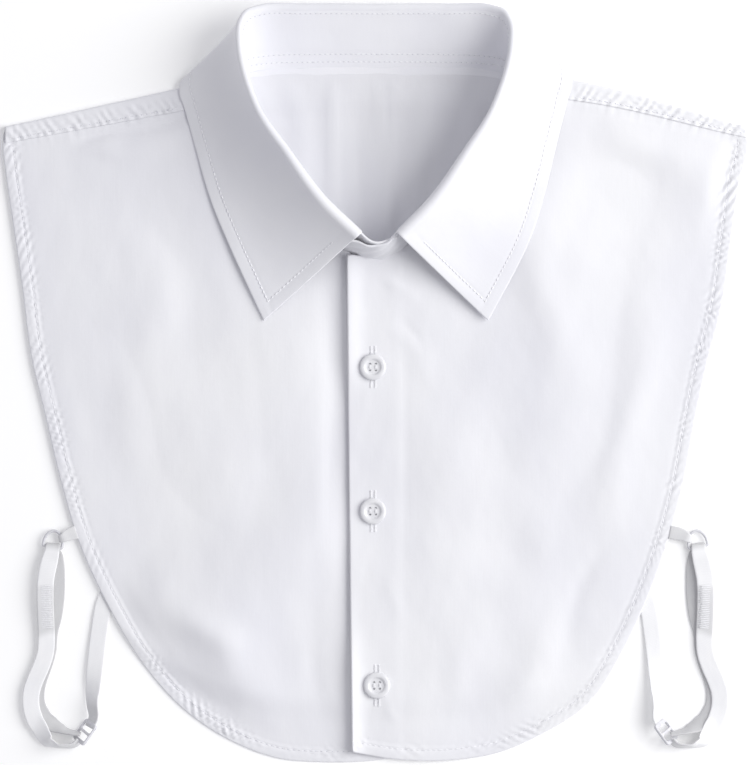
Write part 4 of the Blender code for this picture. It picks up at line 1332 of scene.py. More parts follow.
def collar_grid(side, steps):
    """Seam, roll and edge of the collar, as smooth lines along it."""
    rows = collar_rows(side).reshape(len(COLLAR), 9)
    grid = curve_through(rows, count=steps).reshape(-1, 3, 3)
    grid[..., 0] *= side
    return grid


def roll_radii(count):
    """The roll is tight at the back of the neck and wider towards the front."""
    return ROLL_BACK + (ROLL_FRONT - ROLL_BACK) * smooth((np.linspace(0, 1, count) - 0.5) / 0.45)


def across_collar(grid, side):
    """Two directions at each station: up the band, and out from the neck."""
    seam, roll = grid[:, 0], grid[:, 1]
    up = unit(roll - seam)
    along = np.gradient((seam + roll) / 2, axis=0)
    along[0] = (side, 0.0, 0.0)
    return up, unit(np.cross(along, up) * -side)


def leaf_half(side):
    """Rows of points across the leaf: its leg, the roll and the fall."""
    grid = collar_grid(side, COLLAR_STEPS)
    up, out = across_collar(grid, side)
    rows = []
    for (_, roll, edge), b, o, radius in zip(grid, up, out, roll_radii(len(grid))):
        centre = roll - radius * b
        row = [centre - radius * o - LEAF_LEG * b]
        for turn in np.radians(np.linspace(0, 180, 15)):
            row.append(centre + radius * (math.sin(turn) * b - math.cos(turn) * o))
        start = row[-1]
        flat = (edge - start) * (1.0, 1.0, 0.0)
        reach = np.linalg.norm(flat)
        under = smooth((21.0 - roll[2]) / 8.0)
        first = start - b * 0.10 * reach - np.array([0.0, 0.0, 3.0]) * under
        last = edge - flat * (0.62 + 0.18 * under)
        last[2] += 0.3 * (edge[2] - LEAF_THICK / 2) + 1.0 + 4.0 * smooth((edge[1] - 40.0) / 70.0)
        row += [bezier(start, first, last, edge, t) for t in np.linspace(0.03, 1.0, 33)]
        rows.append([p * (1, 1, 0) + (0, 0, max(p[2], LEAF_MID_LOW)) for p in row])
    return rows


def stitched_dent(away):
    """The line of a topstitch, pressed into a stiffened edge, and the swell beside it."""
    swell = 0.06 * np.exp(-(((away - STITCH_IN / 2) / 2.2) ** 2))
    return swell - 0.2 * np.exp(-(((away - STITCH_IN) / 0.6) ** 2))


leaf_grid = even_grid(np.array(leaf_half(LEFT)[::-1] + leaf_half(RIGHT)[1:]), *LEAF_GRID)
leaf_normal = grid_normals(leaf_grid)
leaf_along, leaf_across = grid_lengths(leaf_grid)
from_outer = leaf_across[:, -1:] - leaf_across
from_front = np.minimum(leaf_along, leaf_along[-1:] - leaf_along)
dent = stitched_dent(from_front) * smooth((from_outer - STITCH_IN) * 2 + 1)
dent = dent + stitched_dent(from_outer)
wave = 0.10 * unevenness(leaf_along, leaf_across, 30.0, 71)
wave = (wave + 0.03 * unevenness(leaf_along, leaf_across, 9.0, 72)) * smooth(from_outer / 6.0)
if leaf_normal[60, -8, 2] < 0:
    leaf_normal = -leaf_normal
print("leaf size, mm:", leaf_along[-1].max().round(), leaf_across[:, -1].max().round())
on_fall = smooth((leaf_across - 8.0) / 4.0)
leaf_grid = leaf_grid + leaf_normal * ((dent + wave) * on_fall)[..., None]
leaf = thick_sheet("cloth_collar_leaf", leaf_grid, LEAF_THICK, poplin)

# %% [markdown]
# The band is the upright strip inside the collar. It stands between the neck seam and the roll,
# and its two ends lap at the front. Its last rows are measured from the photo, because there it
# twists and wrinkles under its own button.

# %% Collar band
BAND_OVERLAP = 0.7
BAND_ROWS = (3.4, 7.0)
BAND_TOP_ROW = 1.7
FOOT_SUNK = 0.5
BAND_GRID = (230, 18)
WRINKLE_HEIGHT = 0.32
WRINKLE_REACH = 34.0


def band_half(side):
    """Rows of points across the band, with its own end at the lap."""
    grid = collar_grid(side, COLLAR_STEPS)
    up, out = across_collar(grid, side)
    rows = []
    for (seam, roll, _), b, o, radius in zip(grid, up, out, roll_radii(len(grid))):
        top = roll - (radius + LEAF_LEG - BAND_OVERLAP) * b - radius * o
        rows.append([seam - FOOT_SUNK * b, (seam + top) / 2 + 0.35 * o, top])
    for x, seam_up, top_up, top_height in BAND_END[side]:
        seam = np.array([x, seam_up, BAND_SEAM_HEIGHT - FOOT_SUNK])
        top = np.array([x, top_up, top_height])
        rows.append([seam, (seam + top) / 2, top])
    tail = np.array([rows[-30], rows[-14], rows[-6], rows[-2], rows[-1]])
    ends = curve_through(tail.reshape(5, 9), count=30).reshape(-1, 3, 3)
    return [curve_through(row, count=9) for row in rows[:-30] + list(ends)]


band_grid = even_grid(np.array(band_half(LEFT)[::-1] + band_half(RIGHT)[1:]), *BAND_GRID)
band_normal = grid_normals(band_grid)
band_along, band_across = grid_lengths(band_grid)
band_wave = 0.1 * unevenness(band_along, band_across * 2, 34.0, 81)
from_right_end = band_along[-1:] - band_along
wrinkle = WRINKLE_HEIGHT * np.sin(from_right_end * 0.75 - band_across * 0.8)
wrinkle = wrinkle * smooth((WRINKLE_REACH - from_right_end) / 12.0)
band_wave = band_wave + wrinkle * smooth(from_right_end / 4.0)
for height in BAND_ROWS:
    band_wave = band_wave - 0.2 * np.exp(-(((band_across - height) / 0.5) ** 2))
band_grid = band_grid + band_normal * (band_wave * smooth(band_across / 2.0))[..., None]
band = thick_sheet("cloth_collar_band", band_grid, BAND_THICK, poplin)

# %% [markdown]
# ## Stitches
#
# A machine stitch shows as a short raised bead of thread, and there are over a thousand. So
# Geometry Nodes lay them: the input is a set of lines, the tree turns the lines into evenly
# spaced points, and puts one small bead on each, turned along the line.

# %% The tree for rows of stitches
UNEVEN_BEADS = (0.85, 1.1)


def thread_tree(name, along_line):
    """Beads of thread on lines: along the line, or lying across it."""
    tree = bpy.data.node_groups.new(name, "GeometryNodeTree")
    face = tree.interface
    face.new_socket("Lines", in_out="INPUT", socket_type="NodeSocketGeometry")
    for label, value in (("Pitch", 0.0024), ("Bead length", 0.0018), ("Thread", 0.0003)):
        socket = face.new_socket(label, in_out="INPUT", socket_type="NodeSocketFloat")
        socket.default_value = value
    face.new_socket("Finish", in_out="INPUT", socket_type="NodeSocketMaterial")
    face.new_socket("Stitches", in_out="OUTPUT", socket_type="NodeSocketGeometry")
    nodes, links = tree.nodes, tree.links
    start = nodes.new("NodeGroupInput")
    lines = nodes.new("GeometryNodeMeshToCurve")
    level = nodes.new("GeometryNodeSetCurveNormal")
    level.mode = "Z_UP"
    spots = nodes.new("GeometryNodeCurveToPoints")
    spots.mode = "LENGTH"
    bead = nodes.new("GeometryNodeMeshUVSphere")
    set_sockets(bead, {"Segments": 6, "Rings": 5, "Radius": 0.5})
    size = nodes.new("ShaderNodeCombineXYZ")
    chance = nodes.new("FunctionNodeRandomValue")
    chance.data_type = "FLOAT"
    set_sockets(chance, {2: UNEVEN_BEADS[0], 3: UNEVEN_BEADS[1], "Seed": 5})
    put = nodes.new("GeometryNodeInstanceOnPoints")
    real = nodes.new("GeometryNodeRealizeInstances")
    paint = nodes.new("GeometryNodeSetMaterial")
    end = nodes.new("NodeGroupOutput")
    links.new(start.outputs["Lines"], lines.inputs["Mesh"])
    links.new(lines.outputs["Curve"], level.inputs["Curve"])
    links.new(level.outputs["Curve"], spots.inputs["Curve"])
    links.new(start.outputs["Pitch"], spots.inputs["Length"])
    length = math_node(tree, "MULTIPLY", start.outputs["Bead length"], chance.outputs[1])
    links.new(length, size.inputs["Z" if along_line else "X"])
    links.new(start.outputs["Thread"], size.inputs["Y"])
    links.new(start.outputs["Thread"], size.inputs["X" if along_line else "Z"])
    links.new(spots.outputs["Points"], put.inputs["Points"])
    links.new(spots.outputs["Rotation"], put.inputs["Rotation"])
    links.new(bead.outputs["Mesh"], put.inputs["Instance"])
    links.new(size.outputs["Vector"], put.inputs["Scale"])
    links.new(put.outputs["Instances"], real.inputs["Geometry"])
    links.new(real.outputs["Geometry"], paint.inputs["Geometry"])
    links.new(start.outputs["Finish"], paint.inputs["Material"])
    links.new(paint.outputs["Geometry"], end.inputs["Stitches"])
    return tree


running_stitch = thread_tree("running_stitch", True)
satin_stitch = thread_tree("satin_stitch", False)
print("stitch trees:", running_stitch.name, satin_stitch.name)

# %% [markdown]
# The tree needs its lines as a mesh of edges. The helper builds that mesh, sets the sizes
# on the modifier by the identifier of each socket, and keeps the evaluated result as a
# plain mesh without a modifier. Each kind of seam has its own sizes in a table.

# %% A helper that lays stitches on lines
HOLE_SINK = 0.08
# each kind of seam: pitch, length and width of a stitch, length and width of a needle hole's grey
# bead of painted shade
SEAMS = {
    "hem": (2.5, 1.8, 0.42, 0.55, 0.38),
    "shoulder": (2.4, 1.7, 0.42, 0.6, 0.5),
    "leaf": (2.2, 1.6, 0.62, 0.5, 0.3),
    "band": (2.3, 1.65, 0.42, 0.5, 0.34),
}


def half_on(line, pitch, sink):
    """The same line, started half a stitch later and sunk a little."""
    line = np.asarray(line, float)
    run = lengths_along(line)
    spots = np.arange(pitch / 2, run[-1], 0.8)
    return at_lengths(line, spots) - (0.0, 0.0, sink)


def sew(name, lines, tree, pitch, bead, thick, finish=None):
    """Runs a stitch tree over lines of points in mm, and keeps the result as a mesh."""
    points, edges = [], []
    for line in lines:
        first = len(points)
        points += (np.asarray(line) * MM).tolist()
        edges += [(first + k, first + k + 1) for k in range(len(line) - 1)]
    mesh = bpy.data.meshes.new(name + "_lines")
    mesh.from_pydata(points, edges, [])
    draft = put_in_scene(name + "_lines", mesh)
    nodes = draft.modifiers.new("Stitches", "NODES")
    nodes.node_group = tree
    keys = {s.name: s.identifier for s in tree.interface.items_tree if s.in_out == "INPUT"}
    nodes[keys["Pitch"]] = pitch * MM
    nodes[keys["Bead length"]] = bead * MM
    nodes[keys["Thread"]] = thick * MM
    nodes[keys["Finish"]] = finish or thread
    made = finished_mesh(draft, name)
    made.shade_smooth()
    print(name, "triangles:", sum(len(f.vertices) - 2 for f in made.polygons))
    return put_in_scene(name, made)


def stitch_row(seam, name, lines):
    """Rows of stitches in the sizes of a kind of seam."""
    pitch, bead, thick = SEAMS[seam][:3]
    return sew(name, lines, running_stitch, pitch, bead, thick)


def shade_dot_row(seam, name, lines, sink=HOLE_SINK):
    """Small grey beads of painted shade halfway between the stitches of a row, for the needle
    holes.
    """
    pitch, long, wide = SEAMS[seam][0], *SEAMS[seam][3:]
    dips = [half_on(line, pitch, sink) for line in lines]
    return sew(name, dips, running_stitch, pitch, long, wide, painted_hole_shade)


print("kinds of seams:", len(SEAMS))

# %% [markdown]
# A shirt hem is turned twice and held by one row of stitches near its inner edge. The
# row follows the side edge at a fixed distance, and takes its height from the cloth.

# %% Stitches on the fronts
STITCH_LIFT = 0.09
HEM_ROW_TOP = 112.0


def hem_row(side, end_in):
    """The stitch row along a front's side and bottom hem."""
    row = beside(side_edge(side, HEM_ROW_TOP, 1.5), -HEM_STITCH)
    row = row[row[:, 0] > end_in] * (side, 1)
    return np.column_stack([row, front_top(row, side) + STITCH_LIFT])


hem_under = hem_row(LEFT, -PLACKET_UNDER)
hem_over = hem_row(RIGHT, PLACKET_OVER + 1.5)
stitches_under = stitch_row("hem", "stitches_front_under", [hem_under])
stitches_over = stitch_row("hem", "stitches_front_over", [hem_over])

# %% [markdown]
# The shoulder seam is topstitched, and the leaf has a row all round, about 6 mm in, that
# keeps its edge flat. The leaf's row is found on its own grid, where the distance from
# the edge has the wanted value.

# %% Stitches on the shoulders and the collar
def shoulder_row(side):
    """Topstitch on the turned strip, just behind the shoulder seam."""
    line = shoulder_seam(side, 2.0) + (0.0, 1.9)
    line = line[line[:, 0] > 90.0][:-1] * (side, 1)
    return np.column_stack([line, strip_surface(line[:, 0], line[:, 1], side) + STITCH_LIFT])


def leaf_row(distance_grid, wanted, keep):
    """Points of the leaf's outside where a distance has the wanted value."""
    found = []
    for line, far, normal, ok in zip(leaf_grid, distance_grid, leaf_normal, keep):
        if ok and far.min() < wanted < far.max():
            order = np.argsort(far)
            place = (line + normal * OUTSIDE)[order]
            found.append([np.interp(wanted, far[order], place[:, k]) for k in range(3)])
    return np.array(found)


OUTSIDE = LEAF_THICK / 2 + STITCH_LIFT
outer_row = leaf_row(from_outer, STITCH_IN, from_front[:, -1] > STITCH_IN)
front_rows = []
for part in (slice(0, 40), slice(-40, None)):
    columns = []
    for c in range(22, leaf_grid.shape[1]):
        if from_outer[0, c] < STITCH_IN:
            continue
        far = from_front[part, c]
        place = (leaf_grid + leaf_normal * OUTSIDE)[part, c]
        order = np.argsort(far)
        columns.append([np.interp(STITCH_IN, far[order], place[order, k]) for k in range(3)])
    front_rows.append(np.array(columns))
leaf_rows = [outer_row, *front_rows]
shoulder_rows = [shoulder_row(s) for s in (LEFT, RIGHT)]
stitches_shoulder = stitch_row("shoulder", "stitches_shoulders", shoulder_rows)
stitches_leaf = stitch_row("leaf", "stitches_leaf", leaf_rows)

# %% [markdown]
# Between two stitches the thread dips into the cloth, and the dip is seen as a small grey dot of
# shade. It could be modelled as a pit, but a pit of half a millimetre needs a very fine mesh. A
# small grey bead half sunk in the cloth gives the same dot, its grey a painted shade.

# %% Painted shade of the needle holes between the stitches
shade_dots_leaf = shade_dot_row("leaf", "painted_hole_shade_leaf", leaf_rows)
shade_dots_shoulder = shade_dot_row("shoulder", "painted_hole_shade_shoulders", shoulder_rows)
shade_dots_under = shade_dot_row("hem", "painted_hole_shade_under", [hem_under])
shade_dots_over = shade_dot_row("hem", "painted_hole_shade_over", [hem_over])

# %% [markdown]
# Two rows run just above the neck seam and one below the roll. They lie on the band's
# inner face, so their points are taken from the band's grid, pushed out by half its
# thickness.

# %% Stitches inside the band
def band_row(height):
    """A row inside the band. A height below 0 counts down from its top."""
    inner = band_grid - band_normal * BAND_SIGN * (BAND_THICK / 2 + STITCH_LIFT)
    return np.array([
        [np.interp(height if height > 0 else far[-1] + height, far, line[:, k]) for k in range(3)]
        for line, far in zip(inner, band_across)
    ])[4:-4]


middle_row = len(band_grid) // 2
BAND_SIGN = 1.0 if band_normal[middle_row, 9, 2] < 0 else -1.0
band_rows = [band_row(height) for height in (*BAND_ROWS, -BAND_TOP_ROW)]
stitches_band = stitch_row("band", "stitches_band", band_rows)
shade_dots_band = shade_dot_row("band", "painted_hole_shade_band", band_rows, sink=0.0)

# %% [markdown]
# ## Buttons and buttonholes
#
# A shirt button is turned from resin: a raised rim round a dish with four holes, and thread
# that runs through them. The profile is spun round its axis, and the holes are cut. The
# buttonhole is a slit with a dense row of satin stitches on each side.

# %% Buttons
BUTTON_RADIUS = 5.9
BUTTON_PROFILE = (
    (0.0, 1.2), (2.6, 1.22), (3.1, 1.3), (3.45, 1.62), (3.9, 1.9), (4.5, 1.98), (5.1, 1.9),
    (5.6, 1.68), (5.8, 1.4), (BUTTON_RADIUS, 0.95), (5.8, 0.6), (5.5, 0.3), (4.6, 0.1), (0.0, 0.0),
)
HOLE_OFFSET = 1.85
HOLE_RADIUS = 0.55
HOLE_TURNS = (45, 135, 225, 315)
TURNING_STEPS = 72
SHARP_RIM = 50
SEAT_GAP = 0.05


def drill_mesh(name):
    """Four thin cylinders, where the holes of a button go."""
    bm = bmesh.new()
    reach, radius = HOLE_OFFSET * MM, HOLE_RADIUS * MM
    for turn in np.radians(HOLE_TURNS):
        spot = Matrix.Translation((reach * math.cos(turn), reach * math.sin(turn), 0.0))
        bmesh.ops.create_cone(bm, cap_ends=True, segments=20, radius1=radius,
                              radius2=radius, depth=8 * MM, matrix=spot)
    mesh = bpy.data.meshes.new(name)
    bm.to_mesh(mesh)
    bm.free()
    return mesh


def button_at(name, x, y, z):
    """A button, turned and drilled, at its place on the cloth."""
    curve = curve_through([(r, 0.0, h) for r, h in BUTTON_PROFILE], each=3)
    curve[:, 0] = np.maximum(curve[:, 0], 0.0)
    profile = bpy.data.meshes.new(name)
    profile.from_pydata((curve * MM).tolist(), [(k, k + 1) for k in range(len(curve) - 1)], [])
    turned = put_in_scene(name, profile)
    screw = turned.modifiers.new("Turn", "SCREW")
    screw.steps = TURNING_STEPS
    screw.render_steps = TURNING_STEPS
    screw.use_merge_vertices = True
    screw.merge_threshold = 0.000005
    drill = put_in_scene(name + "_drill", drill_mesh(name + "_drill"))
    cut = turned.modifiers.new("Holes", "BOOLEAN")
    cut.operation = "DIFFERENCE"
    cut.object = drill
    made = finished_mesh(turned, name)
    bpy.data.objects.remove(drill)
    made.transform(Matrix.Translation((x * MM, y * MM, z * MM)))
    clean(made, faces_out)
    made.materials.clear()
    made.materials.append(resin)
    made.shade_smooth()
    made.set_sharp_from_angle(angle=math.radians(SHARP_RIM))
    return put_in_scene(name, made)


button_heights = []
buttons = []
for number, (x, y) in enumerate(BUTTONS, start=1):
    touches = np.array([(x, y + 9.0), (x + 4.0, y), (x - 4.0, y)])
    seat = front_top(touches, RIGHT).max() + SEAT_GAP
    button_heights.append(seat)
    buttons.append(button_at(f"resin_button_{number}", x, y, seat))
print("buttons stand at, mm:", [round(float(z), 2) for z in button_heights])

# %% [markdown]
# Each button is sewn on with two bundles of thread through its four holes, and its
# buttonhole is a slit with a dense satin edge that peeps out above and below. The threads
# are thin tubes, and the satin edges come from the stitch tree whose beads lie across
# the line.

# %% Thread in the buttons, and the buttonholes
STRAND_SHIFTS = (-0.26, 0.0, 0.26)
STRAND_HEIGHTS = (0.5, 1.1, 1.36, 1.44, 1.36, 1.1, 0.5)
STRAND_RADIUS = 0.17
SATIN_PITCH = 0.42
SATIN_WIDTH = 1.3
SATIN_THREAD = 0.42
SATIN_OFF = 0.95
SATIN_LIFT = 0.08


def thread_tube(name, lines, radius, finish):
    """Round thread along lines of points in mm, as one mesh."""
    curve = bpy.data.curves.new(name, "CURVE")
    curve.dimensions = "3D"
    curve.bevel_depth = radius * MM
    curve.bevel_resolution = 2
    curve.use_fill_caps = True
    for points in lines:
        straight_spline(curve, points)
    mesh = finished_mesh(put_in_scene(name, curve), name)
    mesh.materials.clear()
    mesh.materials.append(finish)
    mesh.shade_smooth()
    return put_in_scene(name, mesh)


def button_threads(x, y, z):
    """Two bundles of three strands, each from hole to hole."""
    h = HOLE_OFFSET * math.cos(math.radians(45))
    lines = []
    for off in (-h, h):
        for shift in STRAND_SHIFTS:
            spots = zip(np.linspace(-h - 0.05, h + 0.05, len(STRAND_HEIGHTS)), STRAND_HEIGHTS)
            lines.append([(x + off + shift, y + s, z + up) for s, up in spots])
    return lines


def buttonhole_lines(x, y):
    """The two sides of a buttonhole, on the over front."""
    ys = np.linspace(y - BUTTONHOLE_HALF, y + BUTTONHOLE_HALF, 26)
    sides = []
    for off in (-SATIN_OFF, SATIN_OFF):
        line = np.column_stack([np.full(len(ys), x + off), ys])
        sides.append(np.column_stack([line, front_top(line, RIGHT) + SATIN_LIFT]))
    return sides


strands = [s for (x, y), z in zip(BUTTONS, button_heights) for s in button_threads(x, y, z)]
button_thread = thread_tube("thread_buttons", strands, STRAND_RADIUS, thread)
holes = [s for x, y in BUTTONS for s in buttonhole_lines(x, y)]
buttonholes = sew("stitches_buttonholes", holes, satin_stitch, SATIN_PITCH, SATIN_WIDTH,
                  SATIN_THREAD)

# %% [markdown]
# ## Elastic, rings and sliders
#
# Narrow elastic runs from the back's hem through a slider, up to a ring that a short tab holds to
# the front, and back to the slider. The strap's route is a table of points: each has its place,
# how far the strap leans over, and its width.

# %% Routes of the elastic
STRAP_THICK = 0.85
STRAP_LOOP = (
    (133.0, -160.4, 4.5, 66.0, 7.0),
    (135.0, -162.2, 4.1, 70.0, 7.2),
    (141.1, -163.0, 4.3, 80.0, 7.5),
    (145.1, -161.9, 4.0, 65.0, 7.6),
    (149.0, -158.5, 3.1, 26.0, 7.6),
    (151.4, -154.2, 2.5, 10.0, 7.6),
    (153.6, -150.0, 2.2, -2.0, 7.6),
    (154.8, -145.6, 2.1, -5.0, 7.6),
    (154.8, -139.0, 2.1, -5.0, 7.6),
    (152.9, -133.0, 2.1, -5.0, 7.6),
    (150.5, -127.6, 2.2, -5.0, 7.6),
    (148.4, -121.0, 2.3, -5.0, 7.6),
    (148.0, -112.0, 2.5, -5.0, 7.6),
    (148.3, -104.0, 3.0, -5.0, 7.6),
    (148.5, -96.0, 3.5, -5.0, 7.6),
    (148.2, -88.0, 3.7, -2.0, 7.6),
    (146.6, -80.0, 3.4, -5.0, 7.6),
    (145.3, -74.6, 3.3, 0.0, 6.6),
    (145.1, -72.5, 2.9, 0.0, 6.4),
    (145.1, -72.0, 1.95, 0.0, 6.4),
    (145.1, -72.5, 1.0, 0.0, 6.4),
    (145.2, -74.6, 0.6, 0.0, 6.6),
    (144.2, -78.2, 0.9, -6.0, 7.4),
    (143.6, -82.4, 1.1, -10.0, 7.6),
    (143.4, -88.0, 1.15, -12.0, 7.6),
    (143.6, -96.0, 1.15, -12.0, 7.6),
    (144.6, -104.0, 1.1, -11.0, 7.6),
    (146.6, -112.0, 1.0, -9.0, 7.6),
    (147.5, -121.0, 1.0, -8.0, 7.6),
    (149.5, -127.6, 1.0, -8.0, 7.6),
    (151.4, -133.0, 1.0, -9.0, 7.6),
    (152.6, -139.0, 1.1, -12.0, 7.6),
    (152.2, -144.6, 1.1, -10.0, 7.6),
    (149.9, -149.2, 1.3, -14.0, 7.6),
    (146.2, -152.6, 1.9, -28.0, 7.6),
    (141.6, -155.0, 3.0, -54.0, 7.4),
    (136.2, -156.9, 4.3, -76.0, 7.0),
    (132.4, -157.6, 4.8, -80.0, 6.8),
)
STRAP_BACK = (
    (128.6, -154.6, 4.4, 52.0, 6.8),
    (126.8, -150.5, 4.1, 52.0, 7.0),
    (127.2, -145.0, 3.7, 48.0, 7.6),
    (127.0, -137.0, 2.7, 26.0, 7.6),
    (126.0, -126.0, 1.7, 6.0, 7.6),
    (124.4, -112.0, 0.85, 0.0, 7.6),
    (122.4, -100.0, 0.55, 0.0, 7.6),
    (118.6, -90.0, 0.55, 0.0, 7.6),
)
TAB = (
    (0.0, -66.8, 2.2, 0.0, 6.2),
    (138.4, -68.2, 2.8, 0.0, 5.4),
    (140.7, -69.5, 3.3, 0.0, 3.9),
    (141.9, -69.9, 2.9, 0.0, 3.4),
    (142.3, -70.0, 1.95, 0.0, 3.3),
    (141.9, -69.9, 1.0, 0.0, 3.4),
    (140.7, -69.5, 0.6, 0.0, 3.9),
    (138.4, -68.2, 0.6, 0.0, 5.4),
    (0.0, -66.8, 0.6, 0.0, 6.2),
)
print("route points of the doubled strap:", len(STRAP_LOOP))

# %% [markdown]
# Flat elastic keeps its width and turns about its middle line. Each point of the route
# gives a place, a lean and a width, and the helper lays a row of points across it. A
# simulation would lose the exact loops that the photo shows.

# %% Straps and tabs
STRAP_STEP = 1.1
STRAP_COLUMNS = 9
TABLE_GAP = 0.05


def ribbon_grid(route, side):
    """Points across a flat strap along its route."""
    rows = curve_through(route, step=0.9)
    centre = rows[:, :3] * (side, 1, 1)
    along = np.gradient(centre, axis=0)
    size = np.maximum(np.linalg.norm(along, axis=1), 1e-9)[:, None]
    along = along * (1.0, 1.0, 0.0) / size
    level = np.stack([-along[:, 1], along[:, 0], np.zeros(len(rows))], axis=1) * side
    for i in range(len(level)):
        size = np.linalg.norm(level[i])
        if i and size < 0.35:
            level[i] = level[i - 1]
            continue
        level[i] /= size
        if i and level[i] @ level[i - 1] < 0:
            level[i] *= -1
    lean = np.radians(rows[:, 3])[:, None]
    broad = level * np.cos(lean) + np.array([0.0, 0.0, 1.0]) * np.sin(lean)
    share = np.linspace(-0.5, 0.5, 11)
    return centre[:, None] + broad[:, None] * (rows[:, 4:5] * share)[..., None]


def strap(name, route, side):
    """A closed strap of elastic along a route, nowhere below the table."""
    steps = int(lengths_along(np.array(route)[:, :3])[-1] / STRAP_STEP) + 6
    grid = even_grid(ribbon_grid(route, side), steps, STRAP_COLUMNS)
    grid[..., 2] = np.maximum(grid[..., 2], STRAP_THICK / 2 + TABLE_GAP)
    return thick_sheet(name, grid, STRAP_THICK, elastic)


def tab_route(side):
    """The tab's route, started inside the front's own side hem."""
    edge = side_edge(side, SHOULDER_END, 1.5)
    rows = np.array(TAB)
    rows[[0, -1], 0] = np.interp(-TAB[0][1], -edge[:, 1], edge[:, 0]) - 0.6
    return rows


straps = []
for side, word in SIDES:
    straps.append((strap(f"elastic_loop_{word}", STRAP_LOOP, side), f"strap_loop_{word}"))
    straps.append((strap(f"elastic_back_{word}", STRAP_BACK, side), f"strap_back_{word}"))
    straps.append((strap(f"elastic_tab_{word}", tab_route(side), side), f"tab_{word}"))

# %% [markdown]
# Each strap is sewn to itself below the ring. The sewn patch is a block of tight zigzag
# stitches, so it looks ribbed and a little darker than the elastic.

# %% Sewn patches of the straps
PATCH = (-90.5, -110.0)
PATCH_WIDE = 6.6
PATCH_PITCH = 0.8
PATCH_THREAD = 0.46


def patch_lines(side):
    """The middle line of a strap's sewn patch, just above the elastic."""
    rows = curve_through(STRAP_LOOP[3:-19], step=0.8)
    rows = rows[(rows[:, 1] < PATCH[0]) & (rows[:, 1] > PATCH[1])]
    return [rows[:, :3] * (side, 1, 1) + (0.0, 0.0, STRAP_THICK / 2 + 0.02)]


patches = [
    sew(f"stitches_strap_{word}", patch_lines(side), satin_stitch, PATCH_PITCH, PATCH_WIDE,
        PATCH_THREAD)
    for side, word in SIDES
]

# %% [markdown]
# The ring is a D of coated wire. It is a closed tube swept along its outline, which is how
# wire is bent: a bow at the top, and a straight foot with rounded corners.

# %% Rings
RING_WIRE = 0.7
RING_HALF = 4.3
RING_RISE = 7.2
RING_SPRING = 1.2
RING_AT = (145.3, -73.4, 1.95)
RING_TURN = 10.0
RING_CORNER = 0.5
SHARP_WIRE = 40


def wire_piece(name, curve, place):
    """A curve turned into a finished mesh piece at its place."""
    mesh = finished_mesh(put_in_scene(name, curve), name)
    mesh.transform(place)
    mesh.materials.clear()
    mesh.materials.append(wire)
    clean(mesh, merge_doubles, faces_out)
    mesh.shade_smooth()
    mesh.set_sharp_from_angle(angle=math.radians(SHARP_WIRE))
    return put_in_scene(name, mesh)


def d_ring(name, side):
    """A closed ring of wire in the shape of a D."""
    bow = [
        (RING_HALF * math.cos(a), RING_SPRING + (RING_RISE - RING_SPRING) * math.sin(a))
        for a in np.linspace(0.0, math.pi, 33)
    ]
    left = [
        (-RING_HALF + RING_CORNER * (1 - math.sin(a)), RING_CORNER * (1 - math.cos(a)))
        for a in np.radians((75, 50, 25, 0))
    ]
    right = [(-u, v) for u, v in left[::-1]]
    cos, sin = math.cos(math.radians(RING_TURN)), math.sin(math.radians(RING_TURN))
    x, y, z = RING_AT
    path = [
        (side * (x + u * cos - v * sin), y + u * sin + v * cos, z) for u, v in bow + left + right
    ]
    curve = bpy.data.curves.new(name, "CURVE")
    curve.dimensions = "3D"
    curve.bevel_depth = RING_WIRE * MM
    curve.bevel_resolution = 5
    straight_spline(curve, path, closed=True)
    return wire_piece(name, curve, Matrix.Identity(4))


print("thickness of the rings' wire, mm:", 2 * RING_WIRE)

# %% [markdown]
# The slider is a small flat frame with a bar, round which the elastic runs. A flat curve
# with two holes, given a height and a rounded edge, is such a frame. A box with slots cut
# through it would need each of their edges rounded by itself.

# %% Sliders
SLIDER_SIZE = (9.6, 11.0, 1.3)
SLIDER_SLOT = (8.2, 3.0)
SLIDER_BAR = 1.3
SLIDER_CORNER = 1.6
SLOT_CORNER = 0.7
SLIDER_ROUND = 0.25
SLIDER_AT = (130.5, -156.6, 4.6)
SLIDER_TURN = 35.8
SLIDER_LEAN = 52.0


def rounded_box(half_x, half_y, corner, middle_y=0.0):
    """The outline of a box with round corners, or of a slot."""
    loop = []
    for start, sx, sy in ((0, 1, 1), (90, -1, 1), (180, -1, -1), (270, 1, -1)):
        for turn in np.radians(start + np.linspace(0, 90, 6)):
            loop.append((sx * (half_x - corner) + corner * math.cos(turn),
                         sy * (half_y - corner) + corner * math.sin(turn) + middle_y))
    return loop


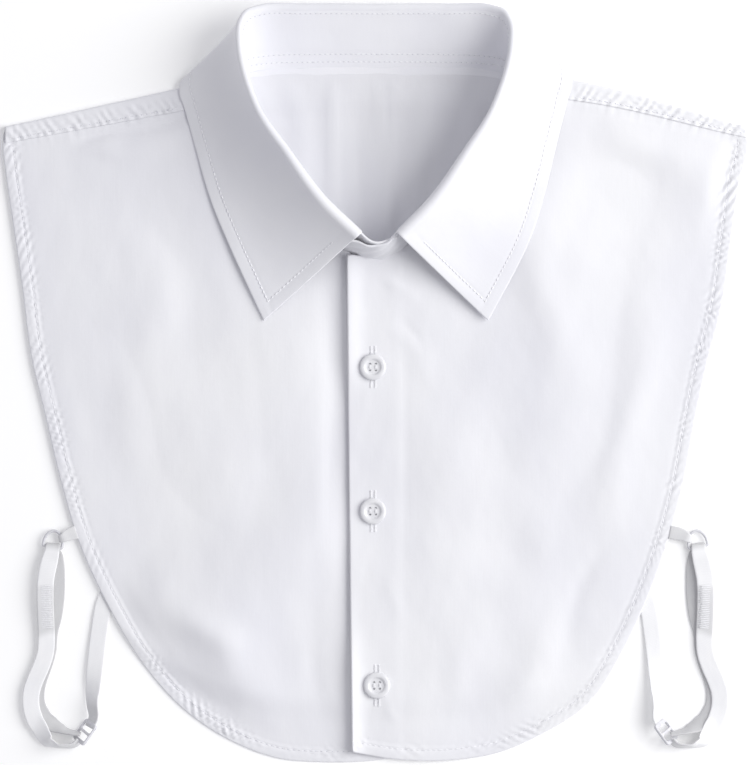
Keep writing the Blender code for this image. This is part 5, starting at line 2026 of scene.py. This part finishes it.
def slider(name, side):
    """A frame with two slots, turned and leaning as in the photo."""
    curve = bpy.data.curves.new(name, "CURVE")
    curve.dimensions = "2D"
    curve.fill_mode = "BOTH"
    curve.extrude = (SLIDER_SIZE[2] / 2 - SLIDER_ROUND) * MM
    curve.bevel_depth = SLIDER_ROUND * MM
    curve.bevel_resolution = 2
    curve.offset = -SLIDER_ROUND * MM
    wide, high = SLIDER_SLOT
    slot_at = (SLIDER_BAR + high) / 2
    loops = [rounded_box(SLIDER_SIZE[0] / 2, SLIDER_SIZE[1] / 2, SLIDER_CORNER)]
    loops += [rounded_box(wide / 2, high / 2, SLOT_CORNER, s * slot_at) for s in (LEFT, RIGHT)]
    for loop in loops:
        straight_spline(curve, [(u, v, 0.0) for u, v in loop], closed=True)
    turn = Matrix.Rotation(math.radians(SLIDER_TURN) * side, 4, "Z")
    lean = Matrix.Rotation(math.radians(SLIDER_LEAN) * side, 4, "Y")
    x, y, z = SLIDER_AT
    place = Matrix.Translation(Vector((side * x, y, z)) * MM)
    return wire_piece(name, curve, place @ turn @ lean)


wires = []
for side, word in SIDES:
    wires.append((d_ring(f"wire_ring_{word}", side), f"ring_{word}"))
    wires.append((slider(f"wire_slider_{word}", side), f"slider_{word}"))
print("rings and sliders:", len(wires))

# %% [markdown]
# ## Join the pieces to the imported model
#
# Every piece rides on the one body and stands for its solid. Each cloth piece's row also gives the
# size of its flat cut, which the script does not use.

# %% Which piece stands for which solid
CLOTH = (
    (back, "back_panel", (0.335, 0.275), 0.0755, "laid", ["collar_leaf"]),
    (front_under, "front_under", (0.181, 0.298), 0.0385, "laid", ["back_panel"]),
    (front_over, "front_over", (0.182, 0.298), 0.0400, "laid", ["back_panel", "front_under"]),
    (leaf, "collar_leaf", (0.480, 0.075), 0.0205, "folded", ["collar_band"]),
    (band, "collar_band", (0.345, 0.029), 0.0094, "stretched", ["back_panel", "front_over"]),
)
SEWN = {
    "back_panel": [stitches_shoulder, shade_dots_shoulder],
    "front_under": [stitches_under, shade_dots_under],
    "front_over": [stitches_over, shade_dots_over, buttonholes, button_thread],
    "collar_leaf": [stitches_leaf, shade_dots_leaf],
    "collar_band": [stitches_band, shade_dots_band],
}
for piece, node, cut, area, held, rests_on in CLOTH:
    for part in [piece, *SEWN[node]]:
        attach(part, "root")
    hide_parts(node)
for number, piece in enumerate(buttons, start=1):
    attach(piece, "root")
    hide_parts(f"button_{number}")
for piece in patches:
    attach(piece, "root")
for piece, node in straps + wires:
    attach(piece, "root")
    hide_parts(node)
